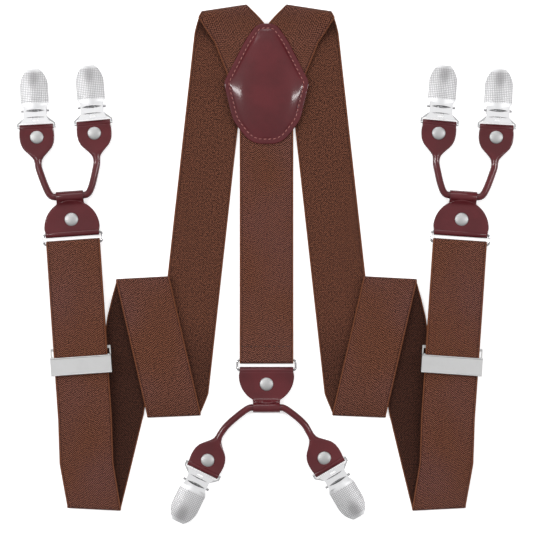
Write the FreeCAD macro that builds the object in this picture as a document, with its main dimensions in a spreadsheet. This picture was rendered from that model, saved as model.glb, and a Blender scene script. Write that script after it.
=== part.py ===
import FreeCAD, Part
import math
import os

# Y-back suspenders laid flat: two front straps and a back strap of elastic webbing meet under a leather
# patch. Each strap ends in a wire ring, a riveted leather tab and a rolled leather cord with two
# spring clips.
# Frame: X across the wearer's straps, Y along the back strap towards the shoulders, Z up from the table.
# The origin is the centre of the outline on the table.

doc = FreeCAD.newDocument("suspenders")
sheet = doc.addObject("Spreadsheet::Sheet", "sizes")

SIZES = [
    ("webbing_width", 35.0, "width of the elastic webbing"),
    ("webbing_thick", 1.3, "thickness of the webbing"),
    ("layer_room", 0.1, "gap left between layers that lie on each other"),
    ("bottom_fold_room", 1.0, "space inside a pressed fold"),
    ("shoulder_fold_room", 5.4, "space inside the loose fold at the shoulder"),
    ("patch_lift", 1.5, "height of the patch backing above the table"),
    ("patch_leather", 1.0, "thickness of the patch leather"),
    ("patch_top", 157.3, "upper edge of the patch"),
    ("patch_top_half", 6.0, "half width of the upper edge before rounding"),
    ("patch_upper", 147.0, "height where the upper sides bend"),
    ("patch_upper_half", 13.5, "half width where the upper sides bend"),
    ("patch_middle", 118.8, "height of the side corners of the patch"),
    ("patch_half_width", 27.9, "half width at the side corners before rounding"),
    ("patch_lower", 94.0, "height where the lower sides bend"),
    ("patch_lower_half", 21.8, "half width where the lower sides bend"),
    ("patch_bottom", 79.0, "lower edge of the patch"),
    ("patch_bottom_half", 10.0, "half width of the lower edge before rounding"),
    ("patch_round_top", 8.0, "corner radius of the upper edge"),
    ("patch_round_upper", 60.0, "bend radius of the upper sides"),
    ("patch_round_middle", 9.0, "radius of the side corners"),
    ("patch_round_lower", 22.0, "bend radius of the lower sides"),
    ("patch_round_bottom", 15.0, "corner radius of the lower edge"),
    ("patch_flange", 4.6, "flat sewn margin of the patch"),
    ("padding_height", 3.2, "height of the padding in the patch"),
    ("strap_join", 103.6, "where the back strap meets the front straps under the patch"),
    ("ring_wire", 1.4, "wire of the rectangular rings"),
    ("ring_side_room", 0.8, "ring opening beyond the webbing at each side"),
    ("ring_corner", 1.8, "bend radius of the ring wire"),
    ("ring_gap", 2.0, "open gap between the webbing and the leather in a ring"),
    ("strap_fold_room", 2.4, "space inside the webbing fold around a ring bar"),
    ("tab_leather", 1.3, "thickness of the tab leather"),
    ("tab_fold_room", 2.0, "space inside the leather fold around a ring bar"),
    ("tab_fold_width", 35.0, "width of the leather in the ring"),
    ("tab_radius", 18.0, "half-round end of the tab"),
    ("tab_arc_centre", 6.8, "centre of the half-round end, from the ring gap"),
    ("tab_rivet", 12.2, "tab rivet, from the ring gap"),
    ("barrel_place", 27.3, "barrel loop axis, from the ring gap"),
    ("barrel_length", 17.6, "length of the barrel loop"),
    ("barrel_wall", 1.0, "leather wall of the barrel loop"),
    ("roll_width", 4.6, "diameter of the rolled leather cord"),
    ("roll_room", 0.2, "gap around the cord in its barrel"),
    ("end_leather", 1.2, "leather layer of a flared end"),
    ("end_half_width", 11.0, "half width of a flared end at its clip"),
    ("end_length", 23.0, "flared end, from clip edge to neck"),
    ("end_rivet", 8.4, "rivet in a flared end, from the clip edge"),
    ("end_fold_room", 1.7, "space in the leather fold around a clip bar"),
    ("rivet_cap", 8.8, "diameter of a rivet cap"),
    ("rivet_rise", 1.3, "height of a domed cap"),
    ("rivet_foot", 0.8, "height of the cap on the back"),
    ("rivet_shank", 3.0, "diameter of a rivet shank"),
    ("clip_sheet", 0.8, "sheet steel of the clip plates"),
    ("clip_nose", 27.2, "nose of the clip, from its pin"),
    ("clip_half_width", 9.05, "half width of the upper jaw"),
    ("clip_nose_half", 3.9, "half width of the nose"),
    ("clip_neck_half", 7.4, "half width of the clip at its pin"),
    ("clip_tail", 8.1, "end of the press pad, from the pin"),
    ("clip_pad_half", 9.8, "half width of the press pad at its end"),
    ("clip_rise", 3.0, "crown of the upper jaw above the pin"),
    ("clip_nose_fall", 3.27, "fall of the upper jaw from its crown to the nose"),
    ("clip_drop", 3.0, "underside of the back plate below the pin"),
    ("clip_ear", 0.7, "thickness of the clip ears"),
    ("clip_pin", 1.5, "diameter of the clip pin"),
    ("clip_pin_length", 18.2, "length of the clip pin"),
    ("pin_room", 0.05, "radial clearance of a pin in its ears"),
    ("clip_bar", 1.5, "bar of the clip loop"),
    ("clip_loop_room", 0.3, "gap between the leather and the loop arms"),
    ("clip_arm", 1.2, "width of the loop arms"),
    ("spring_wire", 0.6, "wire of the torsion spring"),
    ("spring_length", 4.8, "coiled length of the torsion spring"),
    ("slider_side_room", 2.2, "how far the adjuster plate stands out past each edge of the webbing"),
    ("slider_height", 11.7, "height of the adjuster plate"),
    ("slider_sheet", 0.8, "sheet steel of the adjuster"),
    ("slider_bar", 1.2, "thickness of the adjuster strap bar"),
    ("slider_bar_place", 10.8, "strap bar, from the middle of the plate"),
    ("slider_pin", 1.2, "diameter of the adjuster hinge pin"),
    ("slider_swing_room", 0.6, "gap from the adjuster pin to its plate"),
    ("slider_room", 0.2, "clearance of the webbing in the adjuster"),
    ("return_lift", 1.6, "height of the returned webbing at the adjuster"),
    ("middle_lift", 1.9, "height of the middle fold, whose corner lies on the long run"),
]

for row, (alias, value, meaning) in enumerate(SIZES, start=1):
    sheet.set(f"A{row}", alias)
    sheet.set(f"B{row}", str(value))
    sheet.set(f"C{row}", meaning)
    sheet.setAlias(f"B{row}", alias)
doc.recompute()

# the same values for the shapes that are built with Part's own functions
V = {alias: float(sheet.get(alias)) for alias, _, _ in SIZES}
Vector = FreeCAD.Vector
UP = Vector(0, 0, 1)
ACROSS = Vector(1, 0, 0)


# ---------------------------------------------------------------- helpers
def cell(text):
    """An expression in which every size is written by its alias alone."""
    for alias in sorted(V, key=len, reverse=True):
        text = text.replace("{" + alias + "}", "sizes." + alias)
    return text


def place(item, centre, turn=None):
    """Bind the position of an object to expressions, after its fixed turn."""
    if turn:
        item.Placement = FreeCAD.Placement(Vector(), FreeCAD.Rotation(*turn))
    for axis, middle in zip("xyz", centre, strict=True):
        item.setExpression(f"Placement.Base.{axis}", cell(middle))
    return item


def box(name, size, centre):
    block = doc.addObject("Part::Box", name)
    for prop, length in zip(("Length", "Width", "Height"), size, strict=True):
        block.setExpression(prop, cell(length))
    corner = [f"({middle}) - ({length}) / 2" for middle, length in zip(centre, size, strict=True)]
    return place(block, corner)


def rod_across(name, radius, length, centre):
    """A cylinder along X, centred."""
    rod = doc.addObject("Part::Cylinder", name)
    rod.setExpression("Radius", cell(radius))
    rod.setExpression("Height", cell(length))
    middle = [f"({centre[0]}) - ({length}) / 2", centre[1], centre[2]]
    return place(rod, middle, (Vector(0, 1, 0), 90))


def rod_up(name, radius, height, foot):
    rod = doc.addObject("Part::Cylinder", name)
    rod.setExpression("Radius", cell(radius))
    rod.setExpression("Height", cell(height))
    return place(rod, foot)


def fuse(name, pieces):
    whole = doc.addObject("Part::MultiFuse", name)
    whole.Shapes = pieces
    return whole


def cut(name, base, tool):
    rest = doc.addObject("Part::Cut", name)
    rest.Base = base
    rest.Tool = tool
    return rest


def common(name, first, second):
    shared = doc.addObject("Part::Common", name)
    shared.Base = first
    shared.Tool = second
    return shared


def solid(name, shape):
    """A piece whose shape comes straight from Part's functions."""
    piece = doc.addObject("Part::Feature", name)
    piece.Shape = shape
    return piece


def plate(name, edges, bottom, thick):
    """A flat outline, made of edges in the XY plane, raised to a plate."""
    face = Part.Face(Part.Wire(edges))
    face.translate(Vector(0, 0, bottom))
    return solid(name, face.extrude(Vector(0, 0, thick)))


def line(start, end):
    return Part.makeLine(Vector(*start, 0), Vector(*end, 0))


def arc(start, middle, end):
    return Part.Arc(Vector(*start, 0), Vector(*middle, 0), Vector(*end, 0)).toShape()


nodes = {}


def node(label, item):
    """Name a finished sub-part: its label is also the name of its file."""
    item.Label = label
    nodes[label] = item
    return item


def placed(label, master, placement):
    """One more of a repeated piece, at its own place."""
    copy = doc.addObject("Part::Compound", label)
    copy.Links = [master] if not isinstance(master, list) else master
    copy.Placement = placement
    return node(label, copy)


def mirrored(label, source):
    """The right-hand piece, as the mirror image of the left-hand one."""
    twin = doc.addObject("Part::Mirroring", label)
    twin.Source = source
    twin.Normal = ACROSS
    twin.Base = Vector()
    return node(label, twin)


# ---------------------------------------------------------------- places
# Each leather end has a frame of its own: its origin is the middle of the ring gap, and +Y runs from the
# webbing to the clips. Heights are measured from the table.
def out_from_back(widths, gap):
    """The middle line of a run, that many webbing widths and a gap to the left of the back strap's."""
    return -(widths * V["webbing_width"] + gap)


LEFT_END = FreeCAD.Placement(Vector(out_from_back(2, 56.0), 17.8, 0), FreeCAD.Rotation(UP, 4))
BACK_END = FreeCAD.Placement(Vector(0, -64.9, 0), FreeCAD.Rotation(UP, 180))

strap_fold_outer = V["strap_fold_room"] / 2 + V["webbing_thick"]
tab_fold_outer = V["tab_fold_room"] / 2 + V["tab_leather"]
ring_height = strap_fold_outer
strap_bar = -(V["ring_gap"] / 2 + strap_fold_outer)
tab_bar = V["ring_gap"] / 2 + tab_fold_outer

end_fold_outer = V["end_fold_room"] / 2 + V["end_leather"]
clip_bar_height = end_fold_outer + 0.3
clip_bar_place = -(V["clip_tail"] + 0.45 + end_fold_outer)
clip_plane = V["clip_drop"] - V["clip_sheet"] / 2
clip_pin_height = clip_bar_height + clip_plane


# ---------------------------------------------------------------- webbing
def strap_section(x, y, bottom, turn):
    """The upright rectangle of the webbing at one station, its width turned by an angle from X."""
    half = Vector(math.cos(math.radians(turn)), math.sin(math.radians(turn)), 0) * (V["webbing_width"] / 2)
    middle = Vector(x, y, bottom)
    rise = Vector(0, 0, V["webbing_thick"])
    corners = [middle - half, middle + half, middle + half + rise, middle - half + rise]
    return Part.makePolygon(corners + corners[:1])


def strap_run(stations):
    return Part.makeLoft([strap_section(*station) for station in stations], True, True)


def strap_fold(x, y, low, turn, room, sign):
    """A half turn of webbing from the lower layer to the upper one: sign 1 folds at the +Y side."""
    section = Part.Face(strap_section(x, y, low, turn))
    direction = Vector(math.cos(math.radians(turn)), math.sin(math.radians(turn)), 0)
    centre = Vector(x, y, low + V["webbing_thick"] + room / 2)
    return section.revolve(centre, direction, 180 * sign)


def upper(low, room):
    """Underside of the upper layer of a fold."""
    return low + V["webbing_thick"] + room


# stations: x, y, underside, turn of the width
SHOULDER = (out_from_back(1, -8.0), 163.6, 0.0, 8.6)
LOWER_FOLD = (out_from_back(1, 25.3), -96.6, 0.0, 2.4)
MIDDLE_FOLD = (out_from_back(2, 10.3), -9.6, V["middle_lift"], 3.1)
HEM_FOLD = (out_from_back(2, 42.2), -157.0, 0.0, -2.9)
patch_level = V["patch_lift"] + V["patch_leather"] + V["layer_room"]

shoulder_top = upper(0, V["shoulder_fold_room"])
shoulder = strap_run([
    (SHOULDER[0], SHOULDER[1], shoulder_top, SHOULDER[3]),
    (-17.6, 151.3, patch_level, 22.8),
    (4.0, 100.0, patch_level, 22.8),
])
corner = Vector(-200 - V["layer_room"], V["strap_join"] + V["layer_room"], -5)
under_patch = Part.makeBox(200, 200, 50, corner)
shoulder = shoulder.common(under_patch)
shoulder = shoulder.fuse(strap_fold(*SHOULDER, V["shoulder_fold_room"], 1))
node("left_strap_shoulder", solid("left_strap_shoulder", shoulder.removeSplitter()))

lower = strap_run([
    SHOULDER,
    (out_from_back(1, -5.5), 150.0, 0, -5.9),
    (out_from_back(1, 20.2), -82.0, 0, -5.9),
    LOWER_FOLD,
])
lower = lower.fuse(strap_fold(*LOWER_FOLD, V["bottom_fold_room"], -1))
node("left_strap_back_run", solid("left_strap_back_run", lower.removeSplitter()))

short_low = upper(LOWER_FOLD[2], V["bottom_fold_room"])
short_high = upper(MIDDLE_FOLD[2], V["bottom_fold_room"])
short = strap_run([
    (LOWER_FOLD[0], LOWER_FOLD[1], short_low, LOWER_FOLD[3]),
    (MIDDLE_FOLD[0], MIDDLE_FOLD[1], short_high, MIDDLE_FOLD[3]),
])
short = short.fuse(strap_fold(*MIDDLE_FOLD, V["bottom_fold_room"], 1))
node("left_strap_short_run", solid("left_strap_short_run", short.removeSplitter()))

under = strap_run([
    MIDDLE_FOLD,
    (out_from_back(2, 13.4), -20.0, V["webbing_thick"] + 0.25, 5.0),
    (out_from_back(2, 16.2), -31.0, 0, 6.0),
    (out_from_back(2, 27.3), -99.6, 0, 8.0),
    HEM_FOLD,
])
under = under.fuse(strap_fold(*HEM_FOLD, V["bottom_fold_room"], -1))
node("left_strap_under_run", solid("left_strap_under_run", under.removeSplitter()))

# the webbing passes through the adjuster along one straight line
SLIDER_TURN = 4.0
SLIDER = FreeCAD.Placement(Vector(out_from_back(2, 50.2), -64.7, 0), FreeCAD.Rotation(UP, SLIDER_TURN))
slider_bar_bottom = V["return_lift"] + V["webbing_thick"] + V["layer_room"]
loop_top = slider_bar_bottom + V["slider_bar"] + V["layer_room"] + V["webbing_thick"]
front_level = loop_top + V["slider_room"] + V["layer_room"]


def on_slider(along):
    """A point on the line of the adjuster, measured from its middle."""
    point = SLIDER.multVec(Vector(0, along, 0))
    return point.x, point.y


def on_left_end(across, along):
    point = LEFT_END.multVec(Vector(across, along, 0))
    return point.x, point.y


RING_FOLD = (*on_left_end(0, strap_bar), 0.0, 4.0)
ring_upper = upper(0, V["strap_fold_room"])
front = strap_run([
    (HEM_FOLD[0], HEM_FOLD[1], upper(0, V["bottom_fold_room"]), HEM_FOLD[3]),
    (out_from_back(2, 47.0), -128.4, 0.62 * front_level, 1.5),
    (*on_slider(-34), front_level, SLIDER_TURN),
    (*on_slider(36), front_level, SLIDER_TURN),
    (RING_FOLD[0], RING_FOLD[1], ring_upper, RING_FOLD[3]),
])
front = front.fuse(strap_fold(*RING_FOLD, V["strap_fold_room"], 1))
node("left_strap_front_run", solid("left_strap_front_run", front.removeSplitter()))

loop_room = V["slider_bar"] + 2 * V["layer_room"]
LOOP_FOLD = (*on_slider(V["slider_bar_place"] - 0.8), V["return_lift"], SLIDER_TURN)
loop_upper = upper(V["return_lift"], loop_room)
returned = strap_run([RING_FOLD, (*on_slider(33), V["return_lift"], SLIDER_TURN), LOOP_FOLD])
returned = returned.fuse(strap_fold(*LOOP_FOLD, loop_room, -1))
loop_end = strap_run([
    (LOOP_FOLD[0], LOOP_FOLD[1], loop_upper, SLIDER_TURN),
    (*on_slider(V["slider_bar_place"] + 8), loop_upper, SLIDER_TURN),
])
returned = returned.fuse(loop_end)
node("left_strap_return", solid("left_strap_return", returned.removeSplitter()))

for run in ("shoulder", "back_run", "short_run", "under_run", "front_run", "return"):
    mirrored(f"right_strap_{run}", nodes[f"left_strap_{run}"])

BACK_FOLD = (0.0, BACK_END.Base.y - strap_bar, 0.0, 0.0)
back = strap_run([
    (0, V["strap_join"], patch_level, 0),
    (0, 79.0, patch_level, 0),
    (0, 58.0, 0, 0),
    (0, -38.0, 0, 0),
    (0, -48.0, 1.6, 0),
    (0, BACK_FOLD[1], ring_upper, 0),
])
back = back.fuse(strap_fold(*BACK_FOLD, V["strap_fold_room"], -1))
back = back.fuse(strap_run([BACK_FOLD, (0, BACK_FOLD[1] + 12, 0, 0)]))
node("back_strap", solid("back_strap", back.removeSplitter()))


# ---------------------------------------------------------------- patch
def corner_arc(before, corner, after, reach):
    """The arc that rounds a corner, tangent to both sides at that distance from it."""
    incoming = (corner - before).normalize()
    outgoing = (after - corner).normalize()
    half_turn = incoming.getAngle(outgoing) / 2
    radius = reach / math.tan(half_turn)
    inward = (outgoing - incoming).normalize()
    middle = corner + inward * (radius / math.cos(half_turn) - radius)
    return corner - incoming * reach, middle, corner + outgoing * reach


def patch_outline(inset, height):
    """The rounded rhombus of the patch, moved in by an inset."""
    levels = ("top", "upper", "middle", "lower", "bottom")
    halves = ("patch_top_half", "patch_upper_half", "patch_half_width", "patch_lower_half",
              "patch_bottom_half")
    right = [Vector(V[half], V[f"patch_{level}"], 0) for half, level in zip(halves, levels)]
    corners = right + [Vector(-point.x, point.y, 0) for point in reversed(right)]
    right_radii = [V[f"patch_round_{level}"] for level in levels]
    radii = right_radii + right_radii[::-1]
    arcs = []
    for index, radius in enumerate(radii):
        before, corner, after = (corners[(index + step) % len(corners)] for step in (-1, 0, 1))
        turn = (corner - before).getAngle(after - corner)
        arcs.append(corner_arc(before, corner, after, radius * math.tan(turn / 2)))
    edges = []
    for (start, middle, end), following in zip(arcs, arcs[1:] + arcs[:1]):
        edges.append(Part.Arc(start, middle, end).toShape())
        edges.append(Part.makeLine(end, following[0]))
    outline = Part.Wire(edges)
    if inset:
        outline = outline.makeOffset2D(-inset, 0, False, False)
    outline.translate(Vector(0, 0, height))
    return outline


backing = Part.Face(patch_outline(0.4, V["patch_lift"])).extrude(Vector(0, 0, V["patch_leather"]))
node("patch_backing", solid("patch_backing", backing))

front_level_patch = patch_level + V["webbing_thick"] + V["layer_room"]


def dome(extra, flange, height):
    """A low cushion on the patch outline: extra grows it evenly over the padding below it."""
    levels = [(flange, 0.0), (flange + 0.8, 0.55), (flange + 3.0, 0.86), (flange + 7.5, 1.0)]
    wires = [patch_outline(inset - extra, front_level_patch + height * share) for inset, share in levels]
    return Part.makeLoft(wires, True, True)


padding = dome(0, V["patch_flange"] + V["patch_leather"], V["padding_height"])
node("patch_padding", solid("patch_padding", padding))
skin = Part.Face(patch_outline(0, front_level_patch)).extrude(Vector(0, 0, V["patch_leather"]))
skin_height = V["padding_height"] + V["patch_leather"]
skin = skin.fuse(dome(V["patch_leather"], V["patch_flange"] + V["patch_leather"], skin_height))
node("patch_front", solid("patch_front", skin.cut(padding).removeSplitter()))


# ---------------------------------------------------------------- ring
def wire_ring():
    """A rounded rectangle of wire: one bar holds the webbing, the other the leather tab."""
    half = V["webbing_width"] / 2 + V["ring_side_room"] + V["ring_wire"] / 2
    bend = V["ring_corner"]
    low, high = strap_bar, tab_bar
    corners = [(half, high), (-half, high), (-half, low), (half, low)]
    edges = []
    for index, (x, y) in enumerate(corners):
        sx, sy = math.copysign(1, x), 1 if y == high else -1
        centre = Vector(x - sx * bend, y - sy * bend, ring_height)
        flat_end = Vector(x - sx * bend, y, ring_height)
        side_end = Vector(x, y - sy * bend, ring_height)
        middle = centre + Vector(sx, sy, 0) * (bend / math.sqrt(2))
        edges.append(Part.Arc(flat_end, middle, side_end).toShape())
    for y in (low, high):
        edges.append(Part.makeLine(Vector(bend - half, y, ring_height), Vector(half - bend, y, ring_height)))
    for x in (-half, half):
        edges.append(Part.makeLine(Vector(x, low + bend, ring_height), Vector(x, high - bend, ring_height)))
    path = Part.Wire(Part.__sortEdges__(edges))
    start = path.Edges[0]
    tangent = start.tangentAt(start.FirstParameter)
    circle = Part.makeCircle(V["ring_wire"] / 2, start.valueAt(start.FirstParameter), tangent)
    return path.makePipeShell([Part.Wire([circle])], True, True)


ring = solid("ring", wire_ring())
placed("left_ring", ring, LEFT_END)
placed("back_ring", ring, BACK_END)
mirrored("right_ring", nodes["left_ring"])


# ---------------------------------------------------------------- rivets
def rivet(name, grip_bottom, grip_top):
    """A two-part rivet: domed cap above, flat cap below and a shank through the leather."""
    radius = V["rivet_cap"] / 2
    rise = V["rivet_rise"]
    edge = 0.35
    foot = grip_bottom - V["rivet_foot"]
    shank = V["rivet_shank"] / 2
    rim = Vector(radius, 0, grip_top + edge)
    crown = Vector(0, 0, grip_top + rise)
    slope = Vector(radius * 0.62, 0, grip_top + edge + (rise - edge) * 0.72)
    profile = [
        Part.Arc(crown, slope, rim).toShape(),
        Part.makeLine(rim, Vector(radius, 0, grip_top)),
        Part.makeLine(Vector(radius, 0, grip_top), Vector(shank, 0, grip_top)),
        Part.makeLine(Vector(shank, 0, grip_top), Vector(shank, 0, grip_bottom)),
        Part.makeLine(Vector(shank, 0, grip_bottom), Vector(radius, 0, grip_bottom)),
        Part.makeLine(Vector(radius, 0, grip_bottom), Vector(radius, 0, foot)),
        Part.makeLine(Vector(radius, 0, foot), Vector(0, 0, foot)),
        Part.makeLine(Vector(0, 0, foot), crown),
    ]
    face = Part.Face(Part.Wire(profile))
    return solid(name, face.revolve(Vector(), UP, 360))


tab_bottom = ring_height - V["tab_leather"]
tab_top = ring_height + V["tab_leather"]
end_bottom = clip_bar_height - V["end_leather"]
end_top = clip_bar_height + V["end_leather"]
tab_rivet = rivet("tab_rivet_master", tab_bottom, tab_top)
tab_rivet.Placement = FreeCAD.Placement(Vector(0, V["tab_rivet"], 0), FreeCAD.Rotation())
end_rivet_shape = rivet("end_rivet_master", end_bottom, end_top).Shape

# ---------------------------------------------------------------- leather tab
barrel_bore = V["roll_width"] / 2 + V["roll_room"]
barrel_outer = barrel_bore + V["barrel_wall"]
barrel_height = barrel_outer + 0.1


def leather_tab():
    """Two layers of leather folded round the ring bar, a half-round flap, a neck and a barrel loop."""
    radius, centre = V["tab_radius"], V["tab_arc_centre"]
    half = V["tab_fold_width"] / 2
    outline = [
        line((-half, tab_bar), (half, tab_bar)),
        line((half, tab_bar), (radius, centre)),
        arc((radius, centre), (0, centre + radius), (-radius, centre)),
        line((-radius, centre), (-half, tab_bar)),
    ]
    flap = Part.Face(Part.Wire(outline))
    flap.translate(Vector(0, 0, tab_bottom))
    body = flap.extrude(Vector(0, 0, 2 * V["tab_leather"]))
    fold_start = Vector(-half, tab_bar, ring_height)
    body = body.fuse(Part.makeCylinder(tab_fold_outer, 2 * half, fold_start, ACROSS))
    length = V["barrel_length"]
    neck_start = centre + radius - 3
    neck = Part.makeBox(length, V["barrel_place"] - neck_start, 2 * V["tab_leather"],
                        Vector(-length / 2, neck_start, tab_bottom))
    body = body.fuse(neck)
    axis_start = Vector(-length / 2, V["barrel_place"], barrel_height)
    body = body.fuse(Part.makeCylinder(barrel_outer, length, axis_start, ACROSS))
    bore_start = Vector(-radius - 1, tab_bar, ring_height)
    body = body.cut(Part.makeCylinder(V["tab_fold_room"] / 2, 2 * radius + 2, bore_start, ACROSS))
    body = body.cut(Part.makeCylinder(barrel_bore, length, axis_start, ACROSS))
    hole = Part.makeCylinder(V["rivet_shank"] / 2, 20, Vector(0, V["tab_rivet"], -5), UP)
    return body.cut(hole).removeSplitter()


tab = solid("tab", leather_tab())
placed("left_tab", tab, LEFT_END)
placed("back_tab", tab, BACK_END)
mirrored("right_tab", nodes["left_tab"])


# ---------------------------------------------------------------- rolled leather cords
def end_plate():
    """The flared end of a cord, folded over the clip bar. Its clip edge is at Y = 0 and it runs to -Y."""
    half = V["end_half_width"]
    length = V["end_length"]
    neck = V["roll_width"] / 2
    fold = -end_fold_outer
    right = [
        line((half, fold), (half, 1.8 * fold)),
        line((half, 1.8 * fold), (half + 0.3, 1.8 * fold - 1.5)),
        arc((half + 0.3, 1.8 * fold - 1.5), (half + 0.3, -10.0), (half - 1.4, -15.3)),
        arc((half - 1.4, -15.3), (half - 4.7, -19.2), (neck, -length)),
    ]
    edges = [line((-half, fold), (half, fold)), line((neck, -length), (-neck, -length))]
    edges += right + [edge.mirror(Vector(), ACROSS) for edge in right]
    face = Part.Face(Part.Wire(Part.__sortEdges__(edges)))
    face.translate(Vector(0, 0, end_bottom))
    body = face.extrude(Vector(0, 0, 2 * V["end_leather"]))
    start = Vector(-half, fold, clip_bar_height)
    body = body.fuse(Part.makeCylinder(end_fold_outer, 2 * half, start, ACROSS))
    body = body.cut(Part.makeCylinder(V["end_fold_room"] / 2, 2 * half, start, ACROSS))
    return body.cut(Part.makeCylinder(V["rivet_shank"] / 2, 20, Vector(0, -V["end_rivet"], -5), UP))


def bent_path(points):
    """Straight runs joined by tangent arcs, each as large as its two runs allow."""
    edges = []
    here = points[0]
    for before, corner, after in zip(points, points[1:], points[2:]):
        reach = 0.45 * min((corner - before).Length, (after - corner).Length)
        start, middle, end = corner_arc(before, corner, after, reach)
        edges.append(Part.makeLine(here, start))
        edges.append(Part.Arc(start, middle, end).toShape())
        here = end
    edges.append(Part.makeLine(here, points[-1]))
    return Part.Wire(edges)


def rolled_cord(route, ends):
    """The cord as one tube along its route, with a flared end at each tip."""
    path = bent_path([Vector(*point) for point in route])
    first = path.Edges[0]
    tangent = first.tangentAt(first.FirstParameter)
    radius = V["roll_width"] / 2
    circle = Part.makeCircle(radius, first.valueAt(first.FirstParameter), tangent)
    tube = path.makePipeShell([Part.Wire([circle])], True, False)
    expected = math.pi * radius**2 * path.Length
    print(f"cord: {path.Length:.1f} mm of roll, volume {tube.Volume / expected:.3f} of section times length")
    plate_shape = end_plate()
    for placement in ends:
        flared = plate_shape.copy()
        flared.Placement = placement
        tube = tube.fuse(flared)
    return tube.removeSplitter()


def end_frame(across, along, turn):
    """The frame of a flared end: its clip edge, and the direction of its clip."""
    return FreeCAD.Placement(Vector(across, along, 0), FreeCAD.Rotation(UP, turn))


def neck_point(frame, beyond, height):
    """A point on the middle line of a flared end, beyond its neck."""
    point = frame.multVec(Vector(0, -V["end_length"] - beyond, 0))
    return point.x, point.y, height


low_roll = V["roll_width"] / 2 + 0.1
FRONT_ENDS = [end_frame(-18.6, 75.6, -1.0), end_frame(18.6, 75.6, 1.0)]
BACK_ENDS = [end_frame(-41.9, 67.6, 30.5), end_frame(42.0, 69.4, -26.0)]


def cord_route(left, right, ends, beyond):
    """The route from the tip of one flare, straight through and beyond the barrel, to the other."""
    barrel_exit = V["barrel_length"] / 2 + beyond
    return [
        neck_point(ends[0], -5, low_roll), neck_point(ends[0], 1.5, low_roll), *left,
        (-barrel_exit, V["barrel_place"], barrel_height),
        (barrel_exit, V["barrel_place"], barrel_height), *right,
        neck_point(ends[1], 1.5, low_roll), neck_point(ends[1], -5, low_roll),
    ]


front_route = cord_route(
    [(-18.3, 44.6, 2.6), (-15.4, 34.4, 3.1)], [(15.4, 34.4, 3.1), (18.3, 44.6, 2.6)], FRONT_ENDS, 3.0)
back_route = cord_route([(-24.4, 37.4, 3.0)], [(25.2, 38.2, 3.0)], BACK_ENDS, 5.2)
front_roll = solid("front_roll", rolled_cord(front_route, FRONT_ENDS))
back_roll = solid("back_roll", rolled_cord(back_route, BACK_ENDS))
placed("left_roll", front_roll, LEFT_END)
placed("back_roll_cord", back_roll, BACK_END)
mirrored("right_roll", nodes["left_roll"])


def end_rivets(name, ends):
    """The rivets of both flared ends and of the tab, as a group of equal fasteners."""
    shapes = [tab_rivet.Shape]
    for frame in ends:
        one = end_rivet_shape.copy()
        one.Placement = frame * FreeCAD.Placement(Vector(0, -V["end_rivet"], 0), FreeCAD.Rotation())
        shapes.append(one)
    return solid(name, Part.makeCompound(shapes))


placed("left_rivets", end_rivets("front_rivet_group", FRONT_ENDS), LEFT_END)
placed("back_rivets", end_rivets("back_rivet_group", BACK_ENDS), BACK_END)
mirrored("right_rivets", nodes["left_rivets"])


# ---------------------------------------------------------------- clip
# The clip has a frame of its own: the origin is the middle of its pin and +Y runs to the nose.
def lens(name, width, height, along):
    """A slot with two bowed sides, cut through a clip plate."""
    radius = f"((({width}) ^ 2 + ({height}) ^ 2) / (4 * ({height})))"
    sides = []
    for side, sign in (("a", "+"), ("b", "-")):
        middle = f"({along}) {sign} ({radius} - ({height}) / 2)"
        sides.append(rod_up(f"{name}_{side}", radius, "12", ["0", middle, "-1"]))
    return common(name, *sides)


def front_plate():
    half, nose, nose_half = V["clip_half_width"], V["clip_nose"], V["clip_nose_half"]
    neck = V["clip_neck_half"]
    right = [
        line((neck, 1.8), (half, 4.8)),
        line((half, 4.8), (half, nose - 10.2)),
        arc((half, nose - 10.2), (half - 1.7, nose - 4.5), (nose_half, nose)),
    ]
    edges = right + [edge.mirror(Vector(), ACROSS) for edge in right]
    edges += [line((-nose_half, nose), (nose_half, nose)), line((-neck, 1.8), (neck, 1.8))]
    blank = plate("jaw_blank", Part.__sortEdges__(edges), -V["clip_drop"], 2 * V["clip_drop"] + 1)
    bow, reach = 14.0, nose - 8
    crown = (reach ** 2 + V["clip_nose_fall"] ** 2) / (2 * V["clip_nose_fall"])
    shells = []
    for name, minor in (("jaw_outside", f"{bow}"), ("jaw_inside", f"{bow} - {{clip_sheet}}")):
        torus = doc.addObject("Part::Torus", name)
        torus.Radius1 = crown
        torus.setExpression("Radius2", cell(minor))
        shells.append(place(torus, ["0", "8", f"{{clip_rise}} - {bow + crown}"], (Vector(0, 1, 0), 90)))
    cover = common("jaw_cover", blank, cut("jaw_shell", *shells))
    pad_half, tail = V["clip_pad_half"], V["clip_tail"]
    right = [
        line((neck, 3.0), (neck, -3.2)),
        line((neck, -3.2), (neck + 0.4, -5.0)),
        line((neck + 0.4, -5.0), (pad_half, -tail)),
    ]
    edges = right + [edge.mirror(Vector(), ACROSS) for edge in right]
    edges += [line((-pad_half, -tail), (pad_half, -tail)), line((-neck, 3.0), (neck, 3.0))]
    saddle = plate("clip_saddle", Part.__sortEdges__(edges), 1.6, V["clip_sheet"])
    ears = [
        box(f"front_ear_{side}", ["{clip_ear}", "4.8", "2.9"],
            [f"{sign} * ({{clip_neck_half}} - {{clip_ear}} / 2)", "0", "0.3"])
        for side, sign in (("left", "-1"), ("right", "1"))
    ]
    body = fuse("front_plate_body", [cover, saddle, *ears])
    slots = [
        lens("window", "2 * ({clip_neck_half} - {clip_ear} - 0.4)", "1.7", "0"),
        lens("saddle_slot", "2 * ({clip_neck_half} - 1.2)", "1.0", "-4.4"),
        box("pad_slot", ["3.6", "0.9", "4"], ["0", "-6.3", "2"]),
        rod_across("front_pin_hole", "{clip_pin} / 2 + {pin_room}", "4 * {clip_neck_half}", ["0", "0", "0"]),
    ]
    return cut("front_plate", body, fuse("front_plate_slots", slots))


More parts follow.
